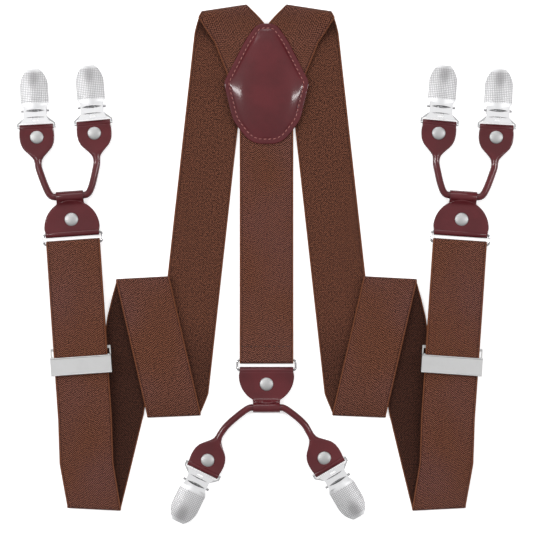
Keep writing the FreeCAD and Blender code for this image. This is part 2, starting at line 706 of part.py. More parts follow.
def back_plate():
    bottom, sheet_thick = -V["clip_drop"], V["clip_sheet"]
    half, nose = V["clip_half_width"] - 0.8, V["clip_nose"] - 1.0
    nose_half, neck = V["clip_nose_half"] - 0.5, V["clip_neck_half"] - 1.0
    inner = V["end_half_width"] + V["clip_loop_room"]
    outer = inner + V["clip_arm"]
    right = [
        line((outer, clip_bar_place), (outer, -V["clip_tail"])),
        line((outer, -V["clip_tail"]), (neck, -3.0)),
        line((neck, -3.0), (neck, 2.0)),
        line((neck, 2.0), (half, 5.0)),
        line((half, 5.0), (half, nose - 9.0)),
        arc((half, nose - 9.0), (half - 1.6, nose - 4.0), (nose_half, nose)),
    ]
    edges = right + [edge.mirror(Vector(), ACROSS) for edge in right]
    edges += [line((-nose_half, nose), (nose_half, nose))]
    edges += [line((-outer, clip_bar_place), (outer, clip_bar_place))]
    blank = plate("back_blank", Part.__sortEdges__(edges), bottom, sheet_thick)
    opening_half = neck - 1.4
    right = [
        line((inner, clip_bar_place - 1), (inner, -V["clip_tail"] - 0.1)),
        line((inner, -V["clip_tail"] - 0.1), (opening_half, -4.3)),
    ]
    edges = right + [edge.mirror(Vector(), ACROSS) for edge in right]
    edges += [line((-opening_half, -4.3), (opening_half, -4.3))]
    edges += [line((-inner, clip_bar_place - 1), (inner, clip_bar_place - 1))]
    opening = plate("loop_opening", Part.__sortEdges__(edges), bottom - 1, sheet_thick + 2)
    bar = rod_across("loop_bar", "{clip_bar} / 2", f"{2 * outer}",
                     ["0", f"{clip_bar_place}", f"{-clip_plane}"])
    ears = [
        box(f"back_ear_{side}", ["{clip_ear}", "3.0", "{clip_drop} + 1.0"],
            [f"{sign} * ({{clip_neck_half}} - 1.5 * {{clip_ear}} - 0.2)", "0.05", "(1.0 - {clip_drop}) / 2"])
        for side, sign in (("left", "-1"), ("right", "1"))
    ]
    teeth = [
        box(f"tooth_{index}", ["1.0", "{clip_sheet}", "{clip_drop} - 0.75"],
            [f"{place_x}", f"{nose - 0.4}", "-({clip_drop} + 0.75) / 2"])
        for index, place_x in enumerate((-2.7, -0.9, 0.9, 2.7))
    ]
    root = box("tooth_root", ["6.4", "{clip_sheet}", "{clip_drop} - 1.5"],
               ["0", f"{nose - 0.4}", "-({clip_drop} + 1.5) / 2"])
    body = fuse("back_plate_body", [cut("back_frame", blank, opening), bar, root, *teeth, *ears])
    hole = rod_across("back_pin_hole", "{clip_pin} / 2 + {pin_room}", "4 * {clip_neck_half}", ["0", "0", "0"])
    return cut("back_plate", body, hole)


def torsion_spring():
    """A coil round the pin with two legs that push the press pads apart."""
    wire = V["spring_wire"]
    radius = V["clip_pin"] / 2 + wire / 2 + 0.1
    length = V["spring_length"] - wire
    pitch = wire + 0.24
    turns = int(length / pitch)
    coil_path = Part.makeHelix(pitch, turns * pitch, radius)
    start = Vector(radius, 0, 0)
    circle = Part.makeCircle(wire / 2, start, Vector(0, 1, pitch / (2 * math.pi * radius)))
    coil = Part.Wire(coil_path.Edges).makePipeShell([Part.Wire([circle])], True, True)
    reach = 4.6
    tail_low = Part.Face(Part.Wire([circle])).extrude(Vector(0, -reach, 0))
    tail_high = Part.makeCylinder(wire / 2, reach, start + Vector(0, 0, turns * pitch), Vector(0, 1, 0))
    tail_high.rotate(Vector(), UP, 180)
    spring = coil.fuse([tail_low])
    spring = spring.fuse([tail_high])
    spring.translate(Vector(0, 0, -turns * pitch / 2))
    spring.rotate(Vector(), Vector(0, 1, 0), 90)
    return spring


pin = rod_across("clip_pin_rod", "{clip_pin} / 2", "{clip_pin_length}", ["0", "0", "0"])
CLIP_PIECES = [
    ("back_plate", back_plate()),
    ("front_plate", front_plate()),
    ("pin", pin),
    ("spring", solid("torsion_spring", torsion_spring())),
]


def clip_at(name, placement):
    for piece, master in CLIP_PIECES:
        placed(f"{name}_{piece}", master, placement)


def clip_frame(group, end):
    """From a flared end's frame to the pin of its clip."""
    edge_to_pin = -(clip_bar_place + end_fold_outer)
    return group * end * FreeCAD.Placement(Vector(0, edge_to_pin, clip_pin_height), FreeCAD.Rotation())


clip_at("left_outer_clip", clip_frame(LEFT_END, FRONT_ENDS[0]))
clip_at("left_inner_clip", clip_frame(LEFT_END, FRONT_ENDS[1]))
for side in ("outer", "inner"):
    for piece, _ in CLIP_PIECES:
        mirrored(f"right_{side}_clip_{piece}", nodes[f"left_{side}_clip_{piece}"])
clip_at("back_right_clip", clip_frame(BACK_END, BACK_ENDS[0]))
clip_at("back_left_clip", clip_frame(BACK_END, BACK_ENDS[1]))

# ---------------------------------------------------------------- adjuster
# Its frame: the origin is under the middle of the lever plate and +Y runs along the webbing to the ring.
pin_level = front_level + V["webbing_thick"] + 0.15 + V["slider_pin"] / 2
pin_place = V["slider_height"] / 2 - 0.65
slider_width = V["webbing_width"] + 2 * V["slider_side_room"]
plate_bottom = pin_level + V["slider_pin"] / 2 + V["slider_swing_room"]
ear_round = plate_bottom - pin_level - 0.15
bed_top = front_level - V["slider_room"]


def slider_frame():
    """A bed under the webbing, two side ears and the bar that holds the returned end."""
    half = slider_width / 2 - 0.1
    ear = V["slider_sheet"]
    bar_top = V["slider_bar_place"] + 0.9
    foot = -V["slider_height"] / 2 + 0.6
    pieces = [
        box("slider_bed", [f"{2 * half}", f"{3.0 - foot}", "{slider_sheet} + 0.2"],
            ["0", f"{(3.0 + foot) / 2}", f"{bed_top} - ({{slider_sheet}} + 0.2) / 2"]),
        box("slider_strap_bar", [f"{2 * half}", "1.8", "{slider_bar}"],
            ["0", "{slider_bar_place}", f"{slider_bar_bottom} + {{slider_bar}} / 2"]),
    ]
    for side, sign in (("left", -1), ("right", 1)):
        x = sign * (half - ear / 2)
        ear_top = pin_level + ear_round
        ear_end = pin_place + ear_round
        tall = [f"{ear}", f"{pin_place - foot}", f"{ear_top - slider_bar_bottom}"]
        front = [f"{ear}", f"{ear_end - foot}", f"{pin_level - slider_bar_bottom}"]
        low = [f"{ear}", f"{bar_top - foot}", "{slider_bar} + 0.6"]
        pieces.append(box(f"slider_ear_{side}", tall,
                          [f"{x}", f"{(pin_place + foot) / 2}", f"{(ear_top + slider_bar_bottom) / 2}"]))
        pieces.append(box(f"slider_ear_front_{side}", front,
                          [f"{x}", f"{(ear_end + foot) / 2}", f"{(pin_level + slider_bar_bottom) / 2}"]))
        pieces.append(rod_across(f"slider_ear_round_{side}", f"{ear_round}", f"{ear}",
                                 [f"{x}", f"{pin_place}", f"{pin_level}"]))
        pieces.append(box(f"slider_arm_{side}", low,
                          [f"{x}", f"{(bar_top + foot) / 2}",
                           f"{slider_bar_bottom} + ({{slider_bar}} + 0.6) / 2"]))
    hole = rod_across("slider_ear_hole", "{slider_pin} / 2 + {pin_room}", f"{2 * slider_width}",
                      ["0", f"{pin_place}", f"{pin_level}"])
    return cut("slider_frame", fuse("slider_frame_body", pieces), hole)


def slider_lever():
    """The hinged front plate: a flat sheet with rolled rims, two lugs and a toothed bar on its underside."""
    rim = 0.45
    pieces = [
        box("lever_sheet", ["{webbing_width} + 2 * {slider_side_room}", "{slider_height}", "{slider_sheet}"],
            ["0", "0", f"{plate_bottom} + {{slider_sheet}} / 2"]),
    ]
    for edge, sign in (("upper", "1"), ("lower", "-1")):
        pieces.append(rod_across(f"lever_rim_{edge}", f"{rim}", f"{slider_width}",
                                 ["0", f"{sign} * ({{slider_height}} / 2 - {rim})",
                                  f"{plate_bottom} + {{slider_sheet}}"]))
    lug_inner = V["webbing_width"] / 2 + 0.25
    lug_outer = slider_width / 2 - 0.1 - V["slider_sheet"] - 0.2
    for side, sign in (("left", -1), ("right", 1)):
        middle = sign * (lug_inner + lug_outer) / 2
        lug_foot = pin_level - V["slider_pin"] / 2 - 0.5
        pieces.append(box(f"lever_lug_{side}",
                          [f"{lug_outer - lug_inner}", "2.4", f"{plate_bottom + 0.3 - lug_foot}"],
                          [f"{middle}", f"{pin_place}", f"{(plate_bottom + 0.3 + lug_foot) / 2}"]))
    tooth_bottom = front_level + V["webbing_thick"] + 0.05
    teeth = int(V["webbing_width"] / 2 - 1)
    for index in range(teeth):
        pieces.append(box(f"lever_tooth_{index}", ["1.1", "1.6", f"{plate_bottom - tooth_bottom + 0.2}"],
                          [f"{1 - teeth + 2 * index}", "2.2", f"{(plate_bottom + tooth_bottom + 0.2) / 2}"]))
    pieces.append(box("lever_tooth_root", [f"{2 * teeth}", "1.6", "0.8"],
                      ["0", "2.2", f"{plate_bottom - 0.2}"]))
    hole = rod_across("lever_pin_hole", "{slider_pin} / 2 + {pin_room}", f"{2 * slider_width}",
                      ["0", f"{pin_place}", f"{pin_level}"])
    return cut("slider_lever", fuse("slider_lever_body", pieces), hole)


slider_pin = rod_across("slider_pin_rod", "{slider_pin} / 2", f"{slider_width - 0.4}",
                        ["0", f"{pin_place}", f"{pin_level}"])
for piece, master in (("frame", slider_frame()), ("lever", slider_lever()), ("pin", slider_pin)):
    placed(f"left_adjuster_{piece}", master, SLIDER)
    mirrored(f"right_adjuster_{piece}", nodes[f"left_adjuster_{piece}"])

# ---------------------------------------------------------------- checks and files
doc.recompute()
for item in doc.Objects:
    if "Invalid" in item.State or "Error" in item.State:
        raise RuntimeError(f"{item.Name} failed: {item.State}")
for label, item in nodes.items():
    if item.Shape.isNull() or not item.Shape.isValid():
        raise RuntimeError(f"{label} has no valid shape")
    if not item.Shape.Solids or item.Shape.Volume <= 0:
        raise RuntimeError(f"{label} is not solid")
os.makedirs("parts", exist_ok=True)
for label, item in nodes.items():
    item.Shape.exportStep(f"parts/{label}.step")
print(f"{len(nodes)} sub-parts written")
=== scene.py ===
# %% [markdown]
# # Suspenders in brown webbing and oxblood leather
# The exact model gives every place and size. Here the same object gets its real surfaces: woven
# elastic webbing, padded and rolled leather, and bright pressed steel. Each step builds one piece
# or one finish and says why it is made in that way.

# %% The exact model
import math

import bmesh
import bpy
import numpy as np
from mathutils import Matrix, Vector, geometry


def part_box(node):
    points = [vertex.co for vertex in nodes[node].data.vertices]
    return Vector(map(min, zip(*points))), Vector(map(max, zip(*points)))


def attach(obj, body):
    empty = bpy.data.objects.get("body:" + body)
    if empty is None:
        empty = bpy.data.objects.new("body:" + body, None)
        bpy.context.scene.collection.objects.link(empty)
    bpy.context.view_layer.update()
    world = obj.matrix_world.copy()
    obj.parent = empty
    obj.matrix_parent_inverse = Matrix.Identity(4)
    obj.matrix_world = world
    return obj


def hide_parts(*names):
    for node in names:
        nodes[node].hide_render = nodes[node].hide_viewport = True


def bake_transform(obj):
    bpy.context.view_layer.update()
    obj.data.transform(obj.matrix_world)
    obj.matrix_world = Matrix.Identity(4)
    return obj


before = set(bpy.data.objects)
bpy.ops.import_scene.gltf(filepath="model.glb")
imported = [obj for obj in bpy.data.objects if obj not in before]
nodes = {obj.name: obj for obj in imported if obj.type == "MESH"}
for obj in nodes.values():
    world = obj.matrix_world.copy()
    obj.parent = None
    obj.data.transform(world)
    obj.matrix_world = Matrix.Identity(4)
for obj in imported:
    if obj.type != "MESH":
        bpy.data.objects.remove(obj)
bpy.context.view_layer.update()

MM = 0.001

# %% [markdown]
# ## Light and camera
# The suspenders lie flat on a table, seen from straight above with a long lens, which keeps
# widths nearly true. The room is pale above and darker near the horizon, so steel gets dark edges; two
# long soft boxes at the sides give leather its tall highlights and one wide box fills in. The
# table glows faintly to stay white. A single lamp would leave hard shadows.

# %% Camera
VIEW_WIDTH = 346.45 * MM
VIEW_CENTRE_Y = -0.65 * MM
LENS_HEIGHT = 1.6
SENSOR = 36.0

scene = bpy.context.scene
lens = bpy.data.cameras.new("camera")
lens.sensor_width = SENSOR
lens.lens = SENSOR * LENS_HEIGHT / VIEW_WIDTH
lens.clip_end = 50
camera = bpy.data.objects.new("camera", lens)
camera.location = (0, VIEW_CENTRE_Y, LENS_HEIGHT + 4 * MM)
scene.collection.objects.link(camera)
scene.camera = camera
scene.view_settings.view_transform = "Standard"
print(f"lens {lens.lens:.0f} mm at {LENS_HEIGHT} m")


# %% [markdown]
# ## Shader sums in plain Python
# A finish is mostly arithmetic on coordinates: stripes, dots and margins. Wiring each sum by hand
# hides the idea, so one class wraps a socket and lets the usual signs add the Math nodes.

# %% A socket that can be added and multiplied
class Wire:
    """An output socket of a finish, for sums in plain Python."""

    def __init__(self, finish, socket):
        self.finish = finish
        self.socket = socket

    def sum(self, operation, *others):
        return self.finish.make("Math", {i: v for i, v in enumerate((self, *others))}, operation=operation)

    def __add__(self, other):
        return self.sum("ADD", other)

    def __mul__(self, other):
        return self.sum("MULTIPLY", other)

    def __sub__(self, other):
        return self.sum("SUBTRACT", other)

    def __rsub__(self, other):
        return self.finish.make("Math", {0: other, 1: self}, operation="SUBTRACT")

    def __truediv__(self, other):
        return self.sum("DIVIDE", other)

    def __gt__(self, other):
        return self.sum("GREATER_THAN", other)

    __radd__ = __add__
    __rmul__ = __mul__

    def wave(self, length):
        """A sine of that wavelength, from -1 to 1."""
        return (self * (2 * math.pi / length)).sum("SINE")

    def step(self, low, high):
        """0 below low, 1 above high and smooth between; low may be the larger one."""
        return self.finish.make("MapRange", {0: self, 1: low, 2: high}, interpolation_type="SMOOTHSTEP")


def paint(red, green, blue):
    """A colour given as on a screen, 0 to 255, in the linear values of a shader."""
    values = [c / 255 for c in (red, green, blue)]
    return (*[c / 12.92 if c < 0.04045 else ((c + 0.055) / 1.055) ** 2.4 for c in values], 1)


# %% One finish
class Finish:
    """A Principled material, with one method that makes every node."""

    def __init__(self, name, **sockets):
        self.material = bpy.data.materials.new(name)
        self.material.use_nodes = True
        self.tree = self.material.node_tree
        self.surface = self.tree.nodes["Principled BSDF"]
        for socket, value in sockets.items():
            self.set(socket.replace("_", " "), value)

    def plug(self, socket, value):
        if isinstance(value, Wire):
            self.tree.links.new(value.socket, socket)
        else:
            socket.default_value = value

    def set(self, socket, value):
        self.plug(self.surface.inputs[socket], value)

    def make(self, kind, sockets=None, out=0, **settings):
        node = self.tree.nodes.new("ShaderNode" + kind)
        for key, value in settings.items():
            setattr(node, key, value)
        for key, value in (sockets or {}).items():
            self.plug(node.inputs[key], value)
        return Wire(self, node.outputs[out])

    def mix(self, share, first, second):
        return self.make("Mix", {0: share, 6: first, 7: second}, out=2, data_type="RGBA")

    def axes(self, vector):
        parts = self.make("SeparateXYZ", {0: vector})
        return [Wire(self, socket) for socket in parts.socket.node.outputs]

    def noise(self, vector, scale, detail=3.0, rough=0.55):
        return self.make("TexNoise", {"Vector": vector, "Scale": scale, "Detail": detail, "Roughness": rough})

    def place(self):
        return self.make("TexCoord", out=3)

    def bump(self, height, distance, strength=1.0):
        self.set("Normal", self.make("Bump", {"Height": height, "Distance": distance, "Strength": strength}))


print("shader sums ready")

# %% [markdown]
# ## Table, room and soft boxes
# The table reaches far beyond the suspenders on every side. The room blends between three tones
# by height; the boxes are placed one by one and all face the middle of the table.

# %% Table, room and lamps
table = bpy.data.meshes.new("table")
REACH = 6.0
corners = [(-REACH, -REACH, 0), (REACH, -REACH, 0), (REACH, REACH, 0), (-REACH, REACH, 0)]
table.from_pydata(corners, [], [(0, 1, 2, 3)])
floor = bpy.data.objects.new("table", table)
floor.location.z = -0.2 * MM
scene.collection.objects.link(floor)
white = Finish("table_white", Base_Color=(0.93, 0.93, 0.93, 1), Roughness=0.7)
white.set("Specular IOR Level", 0.1)
white.set("Emission Color", (1, 1, 1, 1))
white.set("Emission Strength", 0.5)
table.materials.append(white.material)

room = bpy.data.worlds.new("room")
scene.world = room
room.use_nodes = True
sky = room.node_tree
ramp = sky.nodes.new("ShaderNodeValToRGB")
split = sky.nodes.new("ShaderNodeSeparateXYZ")
where = sky.nodes.new("ShaderNodeTexCoord")
for index, (height, tone) in enumerate([(0.0, 0.05), (0.4, 0.2), (0.85, 0.6)]):
    stop = ramp.color_ramp.elements[index] if index < 2 else ramp.color_ramp.elements.new(height)
    stop.position, stop.color = height, (tone, tone, tone, 1)
sky.links.new(where.outputs["Generated"], split.inputs[0])
sky.links.new(split.outputs[2], ramp.inputs[0])
sky.links.new(ramp.outputs[0], sky.nodes["Background"].inputs["Color"])


def soft_box(name, place, size, power):
    lamp = bpy.data.lights.new(name, "AREA")
    lamp.shape = "RECTANGLE"
    lamp.size, lamp.size_y = size
    lamp.energy = power
    item = bpy.data.objects.new(name, lamp)
    item.location = place
    item.rotation_euler = (-Vector(place)).to_track_quat("-Z", "Y").to_euler()
    scene.collection.objects.link(item)


soft_box("left_box", (-1.3, 0.25, 1.15), (0.09, 1.5), 14)
soft_box("right_box", (1.3, 0.1, 1.15), (0.07, 1.4), 10)
soft_box("top_box", (-0.2, 1.5, 1.4), (1.6, 0.8), 11)
print("table, room and three soft boxes")


# %% [markdown]
# ## Small builders
# Every mesh below is made from rings of points. `skin` joins rings into a closed surface and
# `finish_piece` turns it into an object that rides on its body. Writing the rings directly keeps
# the sizes exact, which sculpting would not.

# %% Meshes from rings
def skin(rings, closed=False):
    """Points and faces of a surface through equal rings. The first and last are capped unless closed."""
    count = len(rings[0])
    points = [p for ring in rings for p in ring]
    faces = []
    last = len(rings) if closed else len(rings) - 1
    for row in range(last):
        a, b = row * count, (row + 1) % len(rings) * count
        for k in range(count):
            n = (k + 1) % count
            faces.append((a + k, a + n, b + n, b + k))
    if not closed:
        faces.append(tuple(reversed(range(count))))
        faces.append(tuple(range((len(rings) - 1) * count, len(rings) * count)))
    return points, faces


def joined(*parts):
    """Several parts as one list of points and one of faces."""
    points, faces = [], []
    for some_points, some_faces in parts:
        faces += [tuple(i + len(points) for i in face) for face in some_faces]
        points += [tuple(p) for p in some_points]
    return points, faces


def shown(name, mesh, build, finish):
    """The object of a finished mesh, its faces turned outwards and shaded smooth."""
    bmesh.ops.recalc_face_normals(build, faces=build.faces)
    build.to_mesh(mesh)
    build.free()
    mesh.shade_smooth()
    mesh.materials.append(finish.material)
    item = bpy.data.objects.new(name, mesh)
    scene.collection.objects.link(item)
    return item


def finish_piece(name, part, finish, body, replaces=(), place=None, mirror=False):
    """An object from points in millimetres, placed in the frame and riding on a body."""
    points, faces = part
    points = np.array(points, float)
    if place is not None:
        points = points @ np.array(place.to_3x3()).T + np.array(place.translation)
    if mirror:
        points[:, 0] *= -1
    mesh = bpy.data.meshes.new(name)
    mesh.from_pydata((points * MM).tolist(), [], faces)
    mesh.validate()
    build = bmesh.new()
    build.from_mesh(mesh)
    item = shown(name, mesh, build, finish)
    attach(item, body)
    if replaces:
        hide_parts(*replaces)
    return item


def frame_at(x, y, turn):
    return Matrix.Translation((x, y, 0)) @ Matrix.Rotation(math.radians(turn), 4, "Z")


print("builders ready")

# %% [markdown]
# ## Webbing finish
# The elastic is woven in a fine broken twill that runs up and down across its width. Its right
# side shows lighter brown yarn over dark, its wrong side is darker and speckled, and a line of
# dark picks follows each orange selvedge. The pattern is counted in millimetres along and across
# the strap from the mesh's own map, so it bends with every fold. The long straps also carry
# painted bands of shade, because soft light alone leaves the lower layers too pale.

# %% Webbing
WIDTH = 35.0
THICK = 1.3
WRONG_SIDE = 100.0


def webbing(name, shaded=()):
    """A webbing finish. Shaded bands are (strength, from, to, softness) along the strap."""
    cloth = Finish(name)
    cloth.set("Sheen Weight", 0.04)
    cloth.set("Sheen Roughness", 0.5)
    cloth.set("Specular IOR Level", 0.12)
    place = cloth.make("UVMap", uv_map="weave")
    u, v, _ = cloth.axes(place)
    wrong = u > WRONG_SIDE / 2
    across = u - wrong * WRONG_SIDE
    margin = across.sum("MINIMUM", WIDTH - across)
    zigzag = (across + 0.4).sum("PINGPONG", 8.8)
    twill = (v + zigzag * 0.5).wave(1.5)
    ends = across.wave(1.4)
    picks = v.wave(1.3)
    fine = cloth.noise(place, 1.1, 2.0, 0.75)
    broad = cloth.noise(place, 0.02, 1.0)
    yarn = twill * 0.22 + ends * picks * 0.7 + (fine - 0.5) * 2.6 + 0.4
    warm = broad.step(0.3, 0.7)
    light = cloth.mix(warm, paint(142, 92, 80), paint(142, 88, 66))
    dark = cloth.mix(warm, paint(18, 5, 5), paint(18, 5, 3))
    right_side = cloth.mix(yarn.step(-0.1, 1.1), dark, light)
    speckle = (fine - 0.5) * 3.2 + ends * picks * 0.6 + 0.42
    wrong_side = cloth.mix(speckle.step(-0.1, 1.1), paint(16, 4, 4), paint(132, 82, 62))
    colour = cloth.mix(wrong, right_side, wrong_side)
    for strength, begin, end, soft in shaded:
        share = v.step(begin - soft, begin + soft) * v.step(end + soft, end - soft)
        colour = cloth.mix(share * strength, colour, paint(14, 3, 4))
    selvedge = margin.step(1.1, 0.5) * 0.75
    colour = cloth.mix(selvedge, colour, paint(118, 68, 42))
    dots = (v.wave(1.3) > 0.1) * margin.step(0.9, 1.2) * margin.step(2.0, 1.7)
    colour = cloth.mix(dots * 0.75, colour, paint(44, 18, 14))
    cloth.set("Base Color", colour)
    cloth.set("Roughness", 0.75 + fine * 0.2)
    cloth.bump(yarn + ends * 0.2 + picks * 0.2 - dots * 0.6, 0.12 * MM)
    return cloth


webbing_finish = webbing("webbing_brown")
SHADED = [(0.5, 74, 92, 12), (0.35, 292, 341, 22), (0.62, 437, 588, 6)]
folded_finish = webbing("webbing_folded", SHADED)
print("webbing finishes ready")

# %% [markdown]
# ## Folded webbing
# Each side is one long strap. It leaves the patch, turns over at the shoulder, runs down beneath,
# folds three more times, turns round its ring and ends in the adjuster. One ribbon follows the
# way to the ring and a second the returned end, so the folds are real bends in which the right
# and wrong sides change places. The elastic is stiff and its runs stay flat, so no cloth
# simulation is needed.

# %% A ribbon along runs and folds
SPACING = 2.5
COLUMNS = 16
FOLD_STEPS = 14


def run(*stations):
    """Places along straight runs between stations (x, y, underside, turn, width)."""
    full = [s if len(s) == 5 else (*s, WIDTH) for s in stations]
    rows = []
    for start, end in zip(full, full[1:]):
        start, end = np.array(start, float), np.array(end, float)
        steps = max(2, round(float(np.linalg.norm((end - start)[:3])) / SPACING))
        rows += [start + (end - start) * k / steps for k in range(steps)]
    rows.append(np.array(full[-1], float))
    rows = np.array(rows)
    for _ in range(6):
        rows[1:-1, 2:4] = (rows[:-2, 2:4] + 2 * rows[1:-1, 2:4] + rows[2:, 2:4]) / 4
    rows[:, 2] += THICK / 2
    return rows


def fold(station, room, side, rising, draw_in=0.0):
    """A half turn round the width, at the far (1) or near (-1) end of a run. A loose one draws in."""
    x, y, low, turn = station
    radius = (room + THICK) / 2
    out = Vector((-math.sin(math.radians(turn)), math.cos(math.radians(turn)), 0)) * side
    rows = []
    for k in range(FOLD_STEPS + 1):
        angle = math.pi * (k / FOLD_STEPS - 0.5) * (1 if rising else -1)
        middle = out * (radius * math.cos(angle))
        height = low + THICK / 2 + radius + radius * math.sin(angle)
        rows.append((x + middle.x, y + middle.y, height, turn, WIDTH - draw_in * math.cos(angle)))
    return np.array(rows)


def above(low, room):
    """Underside of the upper layer of a fold."""
    return low + THICK + room


def section():
    """The outline of the webbing across its width as (across, height), with round selvedges."""
    half, edge = WIDTH / 2, THICK / 2
    flat = [(-half + edge + (WIDTH - 2 * edge) * k / COLUMNS, edge) for k in range(COLUMNS + 1)]
    turns = np.radians([36, 72, 108, 144])
    right = [(half - edge + edge * math.sin(a), edge * math.cos(a)) for a in turns]
    left = [(-half + edge - edge * math.sin(a), edge * math.cos(a)) for a in turns[::-1]]
    return flat + right + [(x, -z) for x, z in reversed(flat)] + left


def ribbon(name, parts, finish, cut_at=None):
    """Webbing through runs and folds, with its weave mapped in millimetres, and its length."""
    rows = [parts[0]]
    for part in parts[1:]:
        rows.append(part[1:] if np.allclose(part[0, :3], rows[-1][-1, :3], atol=0.02) else part)
    rows = np.concatenate(rows)
    centre, turn, width = rows[:, :3], np.radians(rows[:, 3]), rows[:, 4]
    tangent = np.gradient(centre, axis=0)
    side = np.stack([np.cos(turn), np.sin(turn), np.zeros_like(turn)], 1)
    normal = np.cross(side, tangent)
    normal /= np.linalg.norm(normal, axis=1)[:, None]
    length = np.concatenate([[0], np.cumsum(np.linalg.norm(np.diff(centre, axis=0), axis=1))])
    spots = section()
    rings = [[c + s * x * w / WIDTH + n * z for x, z in spots]
             for c, s, n, w in zip(centre, side, normal, width)]
    points, faces = skin(rings)
    mesh = bpy.data.meshes.new(name)
    mesh.from_pydata((np.array(points) * MM).tolist(), [], faces)
    layer = mesh.uv_layers.new(name="weave")
    count = len(spots)
    for polygon in mesh.polygons:
        level = np.mean([spots[i % count][1] for i in polygon.vertices])
        wrong = level < -0.01 and len(polygon.vertices) == 4
        for corner in polygon.loop_indices:
            index = mesh.loops[corner].vertex_index
            across = spots[index % count][0] + WIDTH / 2
            layer.data[corner].uv = (across + WRONG_SIDE * wrong, length[index // count])
    build = bmesh.new()
    build.from_mesh(mesh)
    if cut_at is not None:
        everything = build.verts[:] + build.edges[:] + build.faces[:]
        done = bmesh.ops.bisect_plane(build, geom=everything, plane_co=(cut_at * MM, 0, 0),
                                      plane_no=(1, 0, 0), clear_outer=True)
        edges = [e for e in done["geom_cut"] if isinstance(e, bmesh.types.BMEdge)]
        bmesh.ops.holes_fill(build, edges=edges, sides=0)
    return shown(name, mesh, build, finish), float(length[-1])


print("ribbon builder ready")

# %% The two front straps
SHOULDER = (-27.0, 163.6, 0.0, 8.6)
LOWER = (-60.3, -96.6, 0.0, 2.4)
MIDDLE = (-80.3, -9.6, 1.9, 3.1)
HEM = (-112.2, -157.0, 0.0, -2.9)
SHOULDER_ROOM, PRESSED_ROOM, RING_ROOM, LOOP_ROOM = 5.4, 1.0, 2.4, 1.4
SHOULDER_DRAW = 5.0
PATCH_LEVEL = 2.6
FRONT_LEVEL = 5.9
RETURN_LEVEL = 1.6
SLIDER = frame_at(-120.2, -64.7, 4)
LEFT_END = frame_at(-126.0, 17.8, 4)
BACK_END = frame_at(0, -64.9, 180)
STRAP_BAR = -3.5


def on(place, across, along):
    point = place @ Vector((across, along, 0))
    return point.x, point.y


def raised(station, level):
    return (station[0], station[1], level, *station[3:])


LOOP_END = 18.8
RING = (*on(LEFT_END, 0, STRAP_BAR), 0.0, 4.0)
LOOP = (*on(SLIDER, 0, 10.0), RETURN_LEVEL, 4.0)

front_route = [
    run((2.39, 103.75, PATCH_LEVEL, 0.0, 37.97), (-17.6, 151.3, PATCH_LEVEL, 22.8),
        raised(SHOULDER, above(0, SHOULDER_ROOM))),
    fold(SHOULDER, SHOULDER_ROOM, 1, False, SHOULDER_DRAW),
    run(SHOULDER, (-29.5, 150.0, 0, -5.9), (-55.2, -82.0, 0, -5.9), LOWER),
    fold(LOWER, PRESSED_ROOM, -1, True),
    run(raised(LOWER, above(0, PRESSED_ROOM)), raised(MIDDLE, above(MIDDLE[2], PRESSED_ROOM))),
    fold(MIDDLE, PRESSED_ROOM, 1, False),
    run(MIDDLE, (-83.4, -20.0, 1.55, 5.0), (-86.2, -31.0, 0, 6.0), (-97.3, -99.6, 0, 8.0), HEM),
    fold(HEM, PRESSED_ROOM, -1, True),
    run(raised(HEM, above(0, PRESSED_ROOM)), (-117.0, -128.4, 0.62 * FRONT_LEVEL, 1.5),
        (*on(SLIDER, 0, -34), FRONT_LEVEL, 4.0), (*on(SLIDER, 0, 36), FRONT_LEVEL, 4.0),
        raised(RING, above(0, RING_ROOM))),
    fold(RING, RING_ROOM, 1, False),
]
RUNS = ("shoulder", "back_run", "short_run", "under_run", "front_run")
return_route = [
    run(RING, (*on(SLIDER, 0, 33), RETURN_LEVEL, 4.0), LOOP),
    fold(LOOP, LOOP_ROOM, -1, True),
    run(raised(LOOP, above(RETURN_LEVEL, LOOP_ROOM)),
        (*on(SLIDER, 0, LOOP_END), above(RETURN_LEVEL, LOOP_ROOM), 4.0)),
]


def mirrored_copy(item, name):
    mesh = item.data.copy()
    mesh.name = name
    mesh.transform(Matrix.Scale(-1, 4, (1, 0, 0)))
    mesh.flip_normals()
    copy = bpy.data.objects.new(name, mesh)
    scene.collection.objects.link(copy)
    return copy


left_strap, strap_length = ribbon("left_front_strap", front_route, folded_finish, cut_at=-0.1)
left_return, return_length = ribbon("left_return_strap", return_route, webbing_finish)
straps = {"left": (left_strap, left_return)}
straps["right"] = (mirrored_copy(left_strap, "right_front_strap"),
                   mirrored_copy(left_return, "right_return_strap"))
for side, (strap, returned) in straps.items():
    sign = -1 if side == "right" else 1
    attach(strap, "straps")
    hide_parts(*[f"{side}_strap_{name}" for name in RUNS])
    ring_end = Vector((RING[0] * sign, RING[1], 0)) * MM
    loop_end = Vector((LOOP[0] * sign, LOOP[1] + 6, 0)) * MM
    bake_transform(returned)
    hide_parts(f"{side}_strap_return")
print(f"front straps {strap_length:.0f} mm, returned ends {return_length:.0f} mm")

# %% The back strap
BACK_FOLD = (0.0, -61.4, 0.0, 0.0)
back_route = [
    run((0, BACK_FOLD[1] + 12, 0, 0), BACK_FOLD),
    fold(BACK_FOLD, RING_ROOM, -1, True),
    run(raised(BACK_FOLD, above(0, RING_ROOM)), (0, -48.0, 1.6, 0), (0, -38.0, 0, 0), (0, 58.0, 0, 0),
        (0, 79.0, PATCH_LEVEL, 0), (0, 103.6, PATCH_LEVEL, 0)),
]
back_strap, back_length = ribbon("back_strap_webbing", back_route, webbing_finish)
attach(back_strap, "straps")
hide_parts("back_strap")
print(f"back strap {back_length:.0f} mm")

# %% [markdown]
# ## Leather finish
# The leather is oxblood, glazed smooth over a fine pore grain, with darker dyed edges. A clear
# coat over a rough base gives the soft white highlights; one glossy layer alone looks like
# plastic. The pores and the slow cloudiness are noise in the object's own space, in metres.

